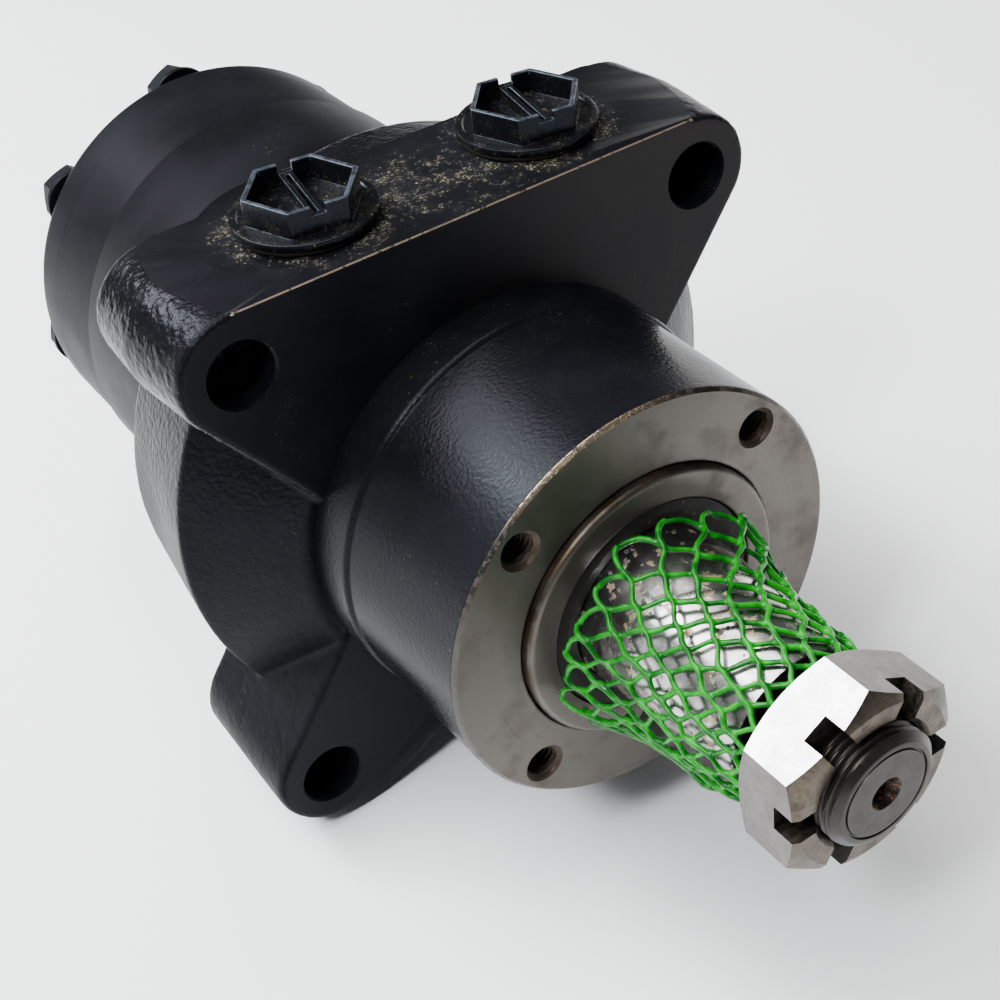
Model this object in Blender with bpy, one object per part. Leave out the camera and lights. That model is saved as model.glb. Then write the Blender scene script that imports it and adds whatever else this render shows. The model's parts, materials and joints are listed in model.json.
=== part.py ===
"""Orbital hydraulic wheel motor, modelled as the pieces it comes apart into.

Frame: +X right, +Z up (ports on top), +Y away from the shaft end, so the shaft points along -Y.
The origin is on the shaft's axis in the plane of the mounting flange's front face.
Lengths and angles below are in millimetres and degrees; the meshes are made in metres.
"""
import math

import bmesh
import bpy
from mathutils import Matrix, Vector

MM = 0.001
GAP = 0.3                       # clearance left between neighbouring pieces

# ---- housing -------------------------------------------------------------------------------
EAR_PITCH = 106.36              # side of the square of mounting holes
EAR_HOLE_R = 6.9
EAR_R = 13.0                    # ear radius round its hole, at the flange's front face
EAR_R_PARTING = 14.3            # the same at the casting's parting plane
EAR_DEPTH = 36.2
EAR_SLOPE = (0.6, 0.8)          # direction of the straight edge that leaves an ear
FLARE_SHIFT = (6.6, 4.9)        # the lower ears' undersides swell to a bigger arc, its centre this far
FLARE_GROWTH = 7.7              # from the hole and its radius this much larger
FLARE_TURN = 8.5                # their straight undersides lie this much flatter
PARTING_Y = 20.0
TOP_Z = 66.2                    # machined port face
NOSE_Y = -47.78
NOSE_R = 45.25
PILOT_R = 46.2
PILOT_Y = -10.25
BARREL_R = 67.4
BARREL_REAR_R = 63.3
BARREL_REAR_Y = 50.75
REAR_BODY_R = 50.3
HOUSING_END_Y = 104.5
SPOOL_BORE_R = 24.3
BEARING_BORE_R = 29.7
SHOULDER_Y = -6.0               # the housing's shoulder behind the thrust bearing
TAPPED_CIRCLE_R = 39.0
TAPPED_R = 3.5
TAPPED_MOUTH_R = 4.15
TAPPED_DEPTH = 17.0

# ---- ports ---------------------------------------------------------------------------------
PORT_X = 26.0
PORT_Y = 20.0
PORT_BOSS_R = 22.4
PORT_BORE_R = 10.5
PORT_DEPTH = 16.0
PASSAGE_X = 17.0                # the drillings from the ports meet the spool bore off its centre
PLUG_FLANGE_R = 14.6
PLUG_FLANGE_Z = (67.6, 69.1)
PLUG_HEX_FLATS = 20.7
PLUG_TOP_Z = 74.2
PLUG_TURN = 19.7                # direction of one flat of the hexagon
PLUG_WALL = 1.15

# ---- shaft ---------------------------------------------------------------------------------
SHAFT_END_Y = -112.6
THREAD_R = 12.0
TAPER_SMALL_Y = -90.9
TAPER_SMALL_R = 15.5
TAPER_BIG_Y = -50.0
SEAL_LAND_R = 17.5
JOURNAL_R = 20.0
COLLAR_R = 29.0
COLLAR_Y = (-16.0, -12.6)
SPOOL_R = 24.0
SPOOL_END_Y = 103.9
SPOOL_GROOVES = ((11.0, 19.0), (22.0, 30.0))
SPOOL_SLOT_Y = (66.0, 78.0)
SPOOL_SLOTS = 12
NUT_FLATS = 36.0
NUT_Y = (-109.6, -94.8)
NUT_CORNER = 90.7               # direction of one corner of the nut
NUT_SLOT = (5.5, 5.2)           # width and depth of the six slots
KEY_WIDTH = 6.0
KEY_Y = (-83.0, -63.0)
KEY_R = (12.9, 18.9)            # keyway floor and top of the key
KEY_TURN = 225.0                # direction the key points in
NET_WALL = 1.2

# ---- gear set ------------------------------------------------------------------------------
ROLLERS = 7
ROLLER_CIRCLE_R = 29.5
ROLLER_R = 5.3
ECCENTRICITY = 2.5
PACK_R = 49.6
BOLT_CIRCLE_R = 42.0
BOLT_R = 3.8
BOLT_HOLE_R = 4.1
BOLT_REACH = 16.0               # depth of the bolts' holes in the housing
BOLT_PHASE = 90.0               # direction of the first cover bolt
STEP = 360.0 / ROLLERS
GEAR_PHASE = BOLT_PHASE - 1.5 * STEP    # rollers lie midway between bolts; the first one's direction
PLATE_Y = (104.8, 110.6)
STATOR_Y = (110.9, 124.5)
COVER_Y = (124.8, 136.0)
ROTOR_Y = (111.2, 124.2)
FEED_R = 29.0                   # circle of the passages to the gear chambers
SEAL_GROOVE = (35.6, 37.4, 1.7)  # inner radius, outer radius, depth

# ---- splines -------------------------------------------------------------------------------
SPLINE_TEETH = 12
SPLINE_ROOT_R = 10.1
SPLINE_TIP_R = 12.0
SPLINE_PLAY = 0.45
SHAFT_SPLINE_Y = 28.0
ROTOR_SPLINE_Y = 116.5
LINK_R = 8.6

ROUND = 36                      # sides of an ordinary round piece
HOUSING_SIDES = 56
PACK_SIDES = 48


# ---- materials -----------------------------------------------------------------------------
def make_material(name, color, metallic, roughness):
    material = bpy.data.materials.new(name)
    material.use_nodes = True
    shader = material.node_tree.nodes["Principled BSDF"]
    shader.inputs["Base Color"].default_value = (*color, 1.0)
    shader.inputs["Metallic"].default_value = metallic
    shader.inputs["Roughness"].default_value = roughness
    return material


FINISHES = {
    "black_paint": ((0.015, 0.015, 0.017), 0.0, 0.38),
    "machined_iron": ((0.33, 0.30, 0.28), 1.0, 0.35),
    "ground_steel": ((0.62, 0.61, 0.60), 1.0, 0.22),
    "zinc_steel": ((0.60, 0.56, 0.54), 1.0, 0.34),
    "dark_steel": ((0.13, 0.12, 0.12), 1.0, 0.45),
    "seal_rubber": ((0.02, 0.02, 0.02), 0.0, 0.6),
    "plug_plastic": ((0.03, 0.03, 0.032), 0.0, 0.45),
    "net_plastic": ((0.0, 0.55, 0.06), 0.0, 0.35),
    "bronze": ((0.55, 0.36, 0.16), 1.0, 0.4),
}


# ---- mesh helpers --------------------------------------------------------------------------
def polar(radius, degrees):
    angle = math.radians(degrees)
    return radius * math.cos(angle), radius * math.sin(angle)


def arc(centre, radius, start, end, steps):
    """Points (x, z) on an arc, both ends included."""
    points = []
    for i in range(steps + 1):
        x, z = polar(radius, start + (end - start) * i / steps)
        points.append((centre[0] + x, centre[1] + z))
    return points


def circle(radius, centre=(0.0, 0.0), sides=ROUND):
    corners = [polar(radius, 360.0 * i / sides) for i in range(sides)]
    return [(centre[0] + u, centre[1] + v) for u, v in corners]


def add_rings(bm, rings, close):
    """Skin between rings of as many points each; close joins the last to the first, else both are capped."""
    made = [[bm.verts.new(Vector(p) * MM) for p in ring] for ring in rings]
    pairs = list(zip(made, made[1:]))
    if close:
        pairs.append((made[-1], made[0]))
    for a, b in pairs:
        for i in range(len(a)):
            bm.faces.new((a[i - 1], a[i], b[i], b[i - 1]))
    if not close:
        bm.faces.new(made[0])
        bm.faces.new(made[-1])


def add_turned(bm, profile, sides=ROUND, centre=(0.0, 0.0), close=True, axis="Y"):
    """Turn a profile of (along, radius) points about a line through centre, along Y or Z.

    A closed profile makes a ring; an open one makes a solid with flat ends.
    """
    rings = []
    for along, radius in profile:
        flat = circle(radius, centre, sides)
        if axis == "Y":
            rings.append([(u, along, v) for u, v in flat])
        else:
            rings.append([(u, v, along) for u, v in flat])
    add_rings(bm, rings, close)


def add_prism(bm, outline, start, end, axis="Y"):
    """Straight solid over an outline: (x, z) points along Y, or (x, y) points along Z."""
    if axis == "Y":
        rings = [[(u, along, v) for u, v in outline] for along in (start, end)]
    else:
        rings = [[(u, v, along) for u, v in outline] for along in (start, end)]
    add_rings(bm, rings, close=False)


def add_pipe(bm, outer, inner, start, end):
    """Straight pipe along Y between two outlines with the same number of points."""
    rings = [
        [(x, y, z) for x, z in outline]
        for outline, y in ((outer, start), (outer, end), (inner, end), (inner, start))
    ]
    add_rings(bm, rings, close=True)


def add_box(bm, low, high, turn=None):
    """Box between two corners, turned about the Y axis by the matrix turn."""
    x0, y0, z0 = low
    x1, y1, z1 = high
    rings = [
        [(x0, y, z0), (x1, y, z0), (x1, y, z1), (x0, y, z1)] for y in (y0, y1)
    ]
    if turn is not None:
        rings = [[tuple(turn @ Vector(p)) for p in ring] for ring in rings]
    add_rings(bm, rings, close=False)


def turned_about_shaft(degrees):
    """Rotation that carries +X towards +Z, as seen from the shaft end."""
    return Matrix.Rotation(math.radians(-degrees), 4, "Y")


def make_object(name, bm, finish, origin=(0.0, 0.0, 0.0), crease=35.0):
    """Turn a bmesh built in place into a smooth-shaded object whose origin is at origin."""
    bmesh.ops.recalc_face_normals(bm, faces=bm.faces)
    bmesh.ops.translate(bm, verts=bm.verts, vec=Vector(origin) * -MM)
    mesh = bpy.data.meshes.new(name)
    bm.to_mesh(mesh)
    bm.free()
    mesh.shade_smooth()
    mesh.set_sharp_from_angle(angle=math.radians(crease))
    mesh.materials.append(MATERIALS[finish])
    obj = bpy.data.objects.new(name, mesh)
    obj.location = Vector(origin) * MM
    bpy.context.collection.objects.link(obj)
    obj.parent = ROOT
    return obj


def make_cutter(name, bm):
    """A solid that only cuts or joins: hidden, and left out of the finished part."""
    cutter = make_object(name, bm, "dark_steel")
    cutter.hide_render = True
    cutter.display_type = "WIRE"
    cutter.hide_set(True)
    return cutter


def combine(obj, cutter, operation):
    modifier = obj.modifiers.new(cutter.name, "BOOLEAN")
    modifier.operation = operation
    modifier.solver = "EXACT"
    modifier.object = cutter


def turned_piece(name, profile, finish, sides=ROUND, centre=(0.0, 0.0), close=True):
    bm = bmesh.new()
    add_turned(bm, profile, sides, centre, close)
    middle = (profile[0][0] + profile[-1][0]) / 2
    return make_object(name, bm, finish, (centre[0], middle, centre[1]))


def ring_profile(start, end, inner, outer):
    return [(start, inner), (start, outer), (end, outer), (end, inner)]


# ---- housing -------------------------------------------------------------------------------
def upper_sections():
    """(y, ear radius) of the upper ears' loft: rounded front and back edges, widest at the parting."""
    return (
        (0.0, EAR_R - 0.9), (0.35, EAR_R - 0.35), (1.6, EAR_R), (PARTING_Y, EAR_R_PARTING),
        (EAR_DEPTH - 1.2, EAR_R + 0.3), (EAR_DEPTH, EAR_R - 0.9),
    )


def lower_sections():
    """(y, ear radius, flare, (shift in x, in z)) of a lower ear: flare swells the underside."""
    return (
        (0.0, EAR_R - 0.8, 0.0, (0.5, 1.0)), (0.35, EAR_R - 0.4, 0.1, (0.3, 0.6)),
        (1.6, EAR_R - 0.1, 1.0, (0.0, 0.0)), (PARTING_Y, EAR_R + 1.0, 1.0, (1.5, 0.45)),
        (EAR_DEPTH - 0.5, EAR_R + 2.1, 0.7, (3.0, 0.9)), (EAR_DEPTH, EAR_R + 1.6, 0.6, (3.0, 0.9)),
    )


def upper_outline(radius):
    """Both upper ears and the block between them, with the port face cut flat at TOP_Z."""
    half = EAR_PITCH / 2
    dx, dz = EAR_SLOPE
    run = 45.0
    left = [(-half - dz * radius + dx * run, half - dx * radius - dz * run)]
    start = 180.0 + math.degrees(math.atan2(dx, dz))
    left += [(x, min(z, TOP_Z)) for x, z in arc((-half, half), radius, start, 90.0, 9)]
    left.append((-half + 3.0, TOP_Z))
    return left + [(-x, z) for x, z in reversed(left)]


def lower_outline(radius, flare, shift):
    """The left lower ear, from its straight upper edge round to its straight underside."""
    half = EAR_PITCH / 2
    dx, dz = EAR_SLOPE
    run = 42.0
    centre = (-half + shift[0], -half + shift[1])
    points = [(centre[0] - dz * radius + dx * run, centre[1] + dx * radius + dz * run)]
    start = 180.0 - math.degrees(math.atan2(dx, dz))
    points += arc(centre, radius, start, start + 42.0, 3)
    lower = (centre[0] + FLARE_SHIFT[0] * flare, centre[1] + FLARE_SHIFT[1] * flare)
    lower_radius = radius + FLARE_GROWTH * flare
    end = 360.0 - math.degrees(math.atan2(dz, dx)) - FLARE_TURN * flare
    points += arc(lower, lower_radius, 205.0, end, 7)
    x, z = polar(run, end + 90.0)
    return points + [(points[-1][0] + x, points[-1][1] + z)]


def add_loft(bm, sections, outline, mirror=1.0):
    rings = []
    for y, *shape in sections:
        rings.append([(mirror * x, y, z) for x, z in outline(*shape)])
    add_rings(bm, rings, close=False)


def make_barrel():
    """The turned part of the casting: nose, pilot ring, conical flange back, barrel and rear body."""
    profile = [
        (NOSE_Y, NOSE_R - 0.8), (NOSE_Y + 0.8, NOSE_R), (PILOT_Y, NOSE_R),
        (PILOT_Y + 0.3, PILOT_R), (1.4, PILOT_R), (1.4, PILOT_R + 2.4), (PARTING_Y, BARREL_R),
        (BARREL_REAR_Y - 0.8, BARREL_REAR_R), (BARREL_REAR_Y, BARREL_REAR_R - 0.8),
        (BARREL_REAR_Y, REAR_BODY_R + 3.0), (BARREL_REAR_Y + 3.0, REAR_BODY_R),
        (HOUSING_END_Y - 0.9, REAR_BODY_R), (HOUSING_END_Y, REAR_BODY_R - 0.9),
    ]
    bm = bmesh.new()
    add_turned(bm, profile, HOUSING_SIDES, close=False)
    for vert in bm.verts:
        vert.co.z = min(vert.co.z, (TOP_Z - 0.2) * MM)
    return bm


def port_boss_outline():
    """The left port's wall bulges out of the flange's back, towards the rear spool groove."""
    back = arc((-PORT_X, PORT_Y), PORT_BOSS_R, 0.0, 180.0, 14)
    return back + [(-PORT_X - PORT_BOSS_R, 6.0), (-PORT_X + PORT_BOSS_R, 6.0)]


def make_bore_cutter():
    """Stepped bore through the casting: seal carrier seat, bearing bore, shoulder and spool bore."""
    profile = [
        (NOSE_Y - 1.0, BEARING_BORE_R + 0.35), (-36.0, BEARING_BORE_R + 0.35),
        (-35.6, BEARING_BORE_R), (SHOULDER_Y, BEARING_BORE_R), (SHOULDER_Y, SPOOL_BORE_R),
        (HOUSING_END_Y + 1.0, SPOOL_BORE_R),
    ]
    bm = bmesh.new()
    add_turned(bm, profile, close=False)
    return make_cutter("bore_cutter", bm)


def bolt_directions():
    return [BOLT_PHASE + STEP * k for k in range(ROLLERS)]


def make_hole_cutter():
    """Mounting holes, tapped nose holes, port bores and the blind holes for the cover bolts."""
    bm = bmesh.new()
    for sx in (-1.0, 1.0):
        for sz in (-1.0, 1.0):
            centre = (sx * EAR_PITCH / 2, sz * EAR_PITCH / 2)
            mounting = [(-1.0, EAR_HOLE_R + 1.5), (0.5, EAR_HOLE_R), (EAR_DEPTH + 1.0, EAR_HOLE_R)]
            add_turned(bm, mounting, 20, centre, close=False)
            tapped_at = TAPPED_CIRCLE_R * math.sqrt(0.5)
            tapped = [(NOSE_Y - 1.0, TAPPED_MOUTH_R + 1.0),
                      (NOSE_Y + TAPPED_MOUTH_R - TAPPED_R, TAPPED_R),
                      (NOSE_Y + TAPPED_DEPTH, TAPPED_R), (NOSE_Y + TAPPED_DEPTH + 1.8, 0.4)]
            add_turned(bm, tapped, 14, (sx * tapped_at, sz * tapped_at), close=False)
        port = [(TOP_Z - PORT_DEPTH, PORT_BORE_R), (TOP_Z - 1.0, PORT_BORE_R),
                (TOP_Z + 1.0, PORT_BORE_R + 2.0)]
        add_turned(bm, port, 28, (sx * PORT_X, PORT_Y), close=False, axis="Z")
    for direction in bolt_directions():
        place = polar(BOLT_CIRCLE_R, direction)
        add_prism(bm, circle(BOLT_HOLE_R, place, 10), HOUSING_END_Y - BOLT_REACH, HOUSING_END_Y + 1.0)
    return make_cutter("hole_cutter", bm)


def make_passage_cutter():
    """Drilled passages: port to spool groove, and spool slots to the gear chambers."""
    bm = bmesh.new()
    for side, groove in zip((1.0, -1.0), SPOOL_GROOVES):
        middle = (groove[0] + groove[1]) / 2
        drill = circle(3.8, (side * PASSAGE_X, middle), 12)
        add_prism(bm, drill, 6.0, TOP_Z - PORT_DEPTH + 2.0, axis="Z")
    slot_middle = (SPOOL_SLOT_Y[0] + SPOOL_SLOT_Y[1]) / 2
    for direction in bolt_directions():
        near = polar(SPOOL_BORE_R - 2.0, direction)
        far = polar(FEED_R + 0.4, direction)
        rings = [
            [(x, slot_middle, z) for x, z in circle(2.6, near, 8)],
            [(x, HOUSING_END_Y + 1.0, z) for x, z in circle(2.6, far, 8)],
        ]
        add_rings(bm, rings, close=False)
    return make_cutter("passage_cutter", bm)


def make_housing():
    housing = make_object("housing", make_barrel(), "black_paint", crease=28.0)
    bm = bmesh.new()
    add_loft(bm, upper_sections(), upper_outline)
    combine(housing, make_cutter("upper_ears", bm), "UNION")
    for side, name in ((1.0, "left"), (-1.0, "right")):
        bm = bmesh.new()
        add_loft(bm, lower_sections(), lower_outline, side)
        combine(housing, make_cutter("lower_ear_" + name, bm), "UNION")
    bm = bmesh.new()
    add_prism(bm, port_boss_outline(), 20.0, TOP_Z, axis="Z")
    combine(housing, make_cutter("port_boss", bm), "UNION")
    for cutter in (make_bore_cutter(), make_hole_cutter(), make_passage_cutter()):
        combine(housing, cutter, "DIFFERENCE")
    return housing


# ---- nose: seals and bearings --------------------------------------------------------------
def make_seals():
    carrier = [
        (-49.85, 23.5), (-49.85, 29.2), (-49.3, 29.75), (-36.3, 29.75), (-36.3, 25.5),
        (-44.0, 25.5), (-44.0, 19.0), (-46.0, 19.0), (-46.0, 23.5),
    ]
    turned_piece("seal_carrier", carrier, "machined_iron")
    dust = [
        (-49.3, 20.6), (-49.3, 23.2), (-46.3, 23.2), (-46.3, 19.0), (-47.4, 17.8), (-48.6, 17.8),
    ]
    turned_piece("dust_seal", dust, "seal_rubber")
    turned_piece("shaft_seal", ring_profile(-43.7, -37.3, 17.8, 25.2), "seal_rubber")
    turned_piece("seal_washer", ring_profile(-37.0, -36.2, 18.0, 25.2), "ground_steel")


def scalloped(radius, count, depth):
    """Outline of a caged row of needles: count humps, three points each."""
    points = []
    for i in range(3 * count):
        hump = (0.0, depth, depth)[i % 3]
        points.append(polar(radius + hump, 360.0 * i / (3 * count)))
    return points


def make_bearings():
    bm = bmesh.new()
    add_pipe(bm, scalloped(22.6, 20, 0.7), circle(JOURNAL_R + 0.35, sides=60), -34.6, -19.4)
    make_object("needle_cage", bm, "ground_steel", (0.0, -27.0, 0.0))
    turned_piece("bearing_race", ring_profile(-35.3, -18.7, 23.7, 29.35), "ground_steel")
    turned_piece("thrust_washer", ring_profile(-18.3, -16.3, 20.4, 29.2), "bronze")
    bm = bmesh.new()
    add_pipe(bm, scalloped(28.2, 20, 0.5), circle(SPOOL_R + 0.4, sides=60), -12.2, -10.0)
    make_object("thrust_needle_cage", bm, "ground_steel", (0.0, -11.1, 0.0))
    turned_piece("thrust_race", ring_profile(-9.7, -6.3, SPOOL_R + 0.4, 29.35), "ground_steel")


# ---- splines -------------------------------------------------------------------------------
def spline_outline(root, tip, phase=0.0, centre=(0.0, 0.0)):
    """Outline of straight-flanked teeth: four points for each tooth."""
    points = []
    pitch = 360.0 / SPLINE_TEETH
    for tooth in range(SPLINE_TEETH):
        for share, radius in ((-0.34, root), (-0.18, tip), (0.18, tip), (0.34, root)):
            x, z = polar(radius, phase + pitch * (tooth + share))
            points.append((centre[0] + x, centre[1] + z))
    return points


def socket_outline(phase=0.0, centre=(0.0, 0.0)):
    """The same teeth with running play all round, for a splined bore."""
    points = []
    pitch = 360.0 / SPLINE_TEETH
    root, tip = SPLINE_ROOT_R + SPLINE_PLAY, SPLINE_TIP_R + SPLINE_PLAY
    play = math.degrees(SPLINE_PLAY / SPLINE_TIP_R) / pitch
    for tooth in range(SPLINE_TEETH):
        flanks = ((-0.34 - play, root), (-0.18 - play, tip), (0.18 + play, tip), (0.34 + play, root))
        for share, radius in flanks:
            x, z = polar(radius, phase + pitch * (tooth + share))
            points.append((centre[0] + x, centre[1] + z))
    return points


# ---- shaft ---------------------------------------------------------------------------------
def shaft_profile():
    groove_floor = SPOOL_R - 3.0
    profile = [
        (SHAFT_END_Y + 6.0, 1.0), (SHAFT_END_Y + 3.4, 1.6), (SHAFT_END_Y, 3.35),
        (SHAFT_END_Y, THREAD_R - 1.5), (SHAFT_END_Y + 1.4, THREAD_R), (NUT_Y[1] - 0.2, THREAD_R),
        (NUT_Y[1] + 0.8, THREAD_R - 1.1), (TAPER_SMALL_Y, THREAD_R - 1.1),
        (TAPER_SMALL_Y, TAPER_SMALL_R - 0.5), (TAPER_SMALL_Y + 0.5, TAPER_SMALL_R),
        (TAPER_BIG_Y, SEAL_LAND_R), (-36.0, SEAL_LAND_R), (-35.4, JOURNAL_R),
        (COLLAR_Y[0], JOURNAL_R), (COLLAR_Y[0], COLLAR_R), (COLLAR_Y[1], COLLAR_R),
        (COLLAR_Y[1], SPOOL_R),
    ]
    for start, end in SPOOL_GROOVES:
        profile += [(start, SPOOL_R), (start, groove_floor), (end, groove_floor), (end, SPOOL_R)]
    profile += [
        (SPOOL_END_Y, SPOOL_R), (SPOOL_END_Y, 16.5), (SHAFT_SPLINE_Y + 9.0, 16.5),
        (SHAFT_SPLINE_Y + 7.0, 9.0), (SHAFT_SPLINE_Y - 10.0, 9.0),
    ]
    return profile


def make_shaft():
    bm = bmesh.new()
    add_turned(bm, shaft_profile(), close=False)
    shaft = make_object("output_shaft", bm, "ground_steel")
    bm = bmesh.new()
    add_prism(bm, socket_outline(GEAR_PHASE), SHAFT_SPLINE_Y - 9.0, SHAFT_SPLINE_Y + 12.0)
    combine(shaft, make_cutter("shaft_spline_cutter", bm), "DIFFERENCE")
    bm = bmesh.new()
    for k in range(SPOOL_SLOTS):
        turn = turned_about_shaft(360.0 * (k + 0.5) / SPOOL_SLOTS)
        add_box(bm, (SPOOL_R - 2.5, SPOOL_SLOT_Y[0], -2.0), (SPOOL_R + 1.0, SPOOL_SLOT_Y[1], 2.0), turn)
    turn = turned_about_shaft(KEY_TURN)
    half = KEY_WIDTH / 2 + GAP
    add_box(bm, (KEY_R[0], KEY_Y[0] - GAP, -half), (KEY_R[1], KEY_Y[1] + GAP, half), turn)
    combine(shaft, make_cutter("shaft_slot_cutter", bm), "DIFFERENCE")
    half = KEY_WIDTH / 2
    bm = bmesh.new()
    add_box(bm, (KEY_R[0] + GAP, KEY_Y[0], -half), (KEY_R[1], KEY_Y[1], half), turn)
    x, z = polar(sum(KEY_R) / 2, KEY_TURN)
    make_object("shaft_key", bm, "dark_steel", (x, sum(KEY_Y) / 2, z))


def make_nut():
    """Slotted hexagon nut: a turned blank with chamfered corners, cut to a hexagon, slotted across."""
    corner = NUT_FLATS / 2 / math.cos(math.radians(30.0))
    flat = NUT_FLATS / 2
    front, back = NUT_Y
    rise = (corner - flat + 1.0) * math.tan(math.radians(30.0))
    blank = [
        (front + 1.2, THREAD_R + GAP), (front, THREAD_R + GAP + 1.2), (front, flat - 1.0),
        (front + rise, corner), (back - rise, corner), (back, flat - 1.0),
        (back, THREAD_R + GAP),
    ]
    bm = bmesh.new()
    add_turned(bm, blank, sides=48)
    nut = make_object("slotted_nut", bm, "zinc_steel", (0.0, (front + back) / 2, 0.0), crease=20.0)
    bm = bmesh.new()
    hexagon = [polar(corner, NUT_CORNER + 60.0 * k) for k in range(6)]
    add_prism(bm, hexagon, front - 2.0, back + 2.0)
    combine(nut, make_cutter("nut_hexagon", bm), "INTERSECT")
    width, depth = NUT_SLOT
    for k in range(3):
        bm = bmesh.new()
        turn = turned_about_shaft(NUT_CORNER - 30.0 + 60.0 * k)
        add_box(bm, (-corner - 2.0, front - 2.0, -width / 2), (corner + 2.0, front + depth, width / 2), turn)
        combine(nut, make_cutter("nut_slot_%d" % (k + 1), bm), "DIFFERENCE")


def make_net_sleeve():
    """Plain tube in the place of the net: flared over the seal, drawn in behind the nut."""
    outer = [(-53.0, 24.4), (-57.0, 23.6), (-62.5, 21.1), (-85.5, 20.8), (-90.0, 18.6), (-93.5, 18.3)]
    inner = [(y, radius - NET_WALL) for y, radius in reversed(outer)]
    turned_piece("shaft_net_sleeve", outer + inner, "net_plastic", sides=24)


# ---- gear set ------------------------------------------------------------------------------
def rotor_outline():
    """Six-lobed star: the rollers' path seen from the rotor, set in by one roller radius."""
    points = []
    count = 98
    inset = ROLLER_R + 0.2
    centre = polar(ECCENTRICITY, GEAR_PHASE)
    for i in range(count):
        s = 2 * math.pi * i / count
        x = ROLLER_CIRCLE_R * math.cos(s) - ECCENTRICITY * math.cos(ROLLERS * s)
        z = ROLLER_CIRCLE_R * math.sin(s) - ECCENTRICITY * math.sin(ROLLERS * s)
        dx = -ROLLER_CIRCLE_R * math.sin(s) + ROLLERS * ECCENTRICITY * math.sin(ROLLERS * s)
        dz = ROLLER_CIRCLE_R * math.cos(s) - ROLLERS * ECCENTRICITY * math.cos(ROLLERS * s)
        length = math.hypot(dx, dz)
        radius = math.hypot(x - inset * dz / length, z + inset * dx / length)
        angle = math.degrees(math.atan2(z + inset * dx / length, x - inset * dz / length))
        u, v = polar(radius, angle + GEAR_PHASE)
        points.append((centre[0] + u, centre[1] + v))
    return points


def stator_inner_outline():
    """Round bore with seven roller pockets, as a distance from the axis in each direction."""
    pocket = ROLLER_R + 0.2
    bore = ROLLER_CIRCLE_R + 0.4
    half_angle = math.degrees(math.asin(pocket / ROLLER_CIRCLE_R)) - 0.15
    points = []
    for k in range(ROLLERS):
        centre = GEAR_PHASE + STEP * k
        for i in range(9):
            offset = half_angle * math.sin(math.pi * (i / 8 - 0.5))
            angle = math.radians(offset)
            chord = pocket ** 2 - (ROLLER_CIRCLE_R * math.sin(angle)) ** 2
            reach = ROLLER_CIRCLE_R * math.cos(angle) + math.sqrt(max(chord, 0.0))
            points.append(polar(max(reach, bore), centre + offset))
        for share in (0.25, 0.5, 0.75):
            offset = half_angle + (STEP - 2 * half_angle) * share
            points.append(polar(bore, centre + offset))
    return points


def make_gear_set():
    inner = stator_inner_outline()
    outer = [polar(PACK_R, math.degrees(math.atan2(z, x))) for x, z in inner]
    bm = bmesh.new()
    add_pipe(bm, outer, inner, *STATOR_Y)
    stator = make_object("stator_ring", bm, "black_paint", (0.0, sum(STATOR_Y) / 2, 0.0))
    combine(stator, make_pack_hole_cutter("stator_hole_cutter", STATOR_Y), "DIFFERENCE")
    centre = polar(ECCENTRICITY, GEAR_PHASE)
    bm = bmesh.new()
    add_prism(bm, rotor_outline(), *ROTOR_Y)
    middle = sum(ROTOR_Y) / 2
    rotor = make_object("rotor", bm, "ground_steel", (centre[0], middle, centre[1]))
    bm = bmesh.new()
    add_prism(bm, socket_outline(GEAR_PHASE, centre), ROTOR_Y[0] - 1.0, ROTOR_Y[1] + 1.0)
    combine(rotor, make_cutter("rotor_spline_cutter", bm), "DIFFERENCE")
    for k in range(ROLLERS):
        place = polar(ROLLER_CIRCLE_R, GEAR_PHASE + STEP * k)
        profile = [(ROTOR_Y[0], ROLLER_R), (ROTOR_Y[1], ROLLER_R)]
        turned_piece("roller_%d" % (k + 1), profile, "ground_steel", 20, place, close=False)


def make_drive_link():
    """Cardan shaft from the spool's spline to the rotor's, leaning by the rotor's offset."""
    reach = ROTOR_SPLINE_Y - SHAFT_SPLINE_Y
    head = 4.0

    def teeth(shrink):
        return spline_outline(SPLINE_ROOT_R - shrink, SPLINE_TIP_R - shrink, GEAR_PHASE)

    def neck(radius):
        return [polar(radius, math.degrees(math.atan2(z, x))) for x, z in teeth(0.0)]

    stations = [
        (-head, teeth(0.5)), (0.0, teeth(0.0)), (head, teeth(0.5)),
        (head + 3.0, neck(LINK_R)), (reach - head - 3.0, neck(LINK_R)),
        (reach - head, teeth(0.5)), (reach, teeth(0.0)), (reach + head - 0.5, teeth(0.5)),
    ]
    bm = bmesh.new()
    offset = polar(ECCENTRICITY, GEAR_PHASE)
    rings = []
    for along, outline in stations:
        share = along / reach
        rings.append([(x + offset[0] * share, SHAFT_SPLINE_Y + along, z + offset[1] * share)
                      for x, z in outline])
    add_rings(bm, rings, close=False)
    make_object("drive_link", bm, "dark_steel", (0.0, SHAFT_SPLINE_Y, 0.0))
    button = [(ROTOR_SPLINE_Y + head + 0.3, 8.5), (ROTOR_SPLINE_Y + head + 0.8, 9.0), (ROTOR_Y[1], 9.0)]
    turned_piece("drive_spacer", button, "ground_steel", 24, offset, close=False)


# ---- rear pack -----------------------------------------------------------------------------
def make_pack_hole_cutter(name, span, feed=False):
    """Seven bolt holes through one plate of the pack, with its feed holes if it has them."""
    bm = bmesh.new()
    low, high = span[0] - 1.0, span[1] + 1.0
    for direction in bolt_directions():
        add_prism(bm, circle(BOLT_HOLE_R, polar(BOLT_CIRCLE_R, direction), 10), low, high)
        if feed:
            add_prism(bm, circle(3.0, polar(FEED_R, direction), 8), low, high)
    return make_cutter(name, bm)


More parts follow.
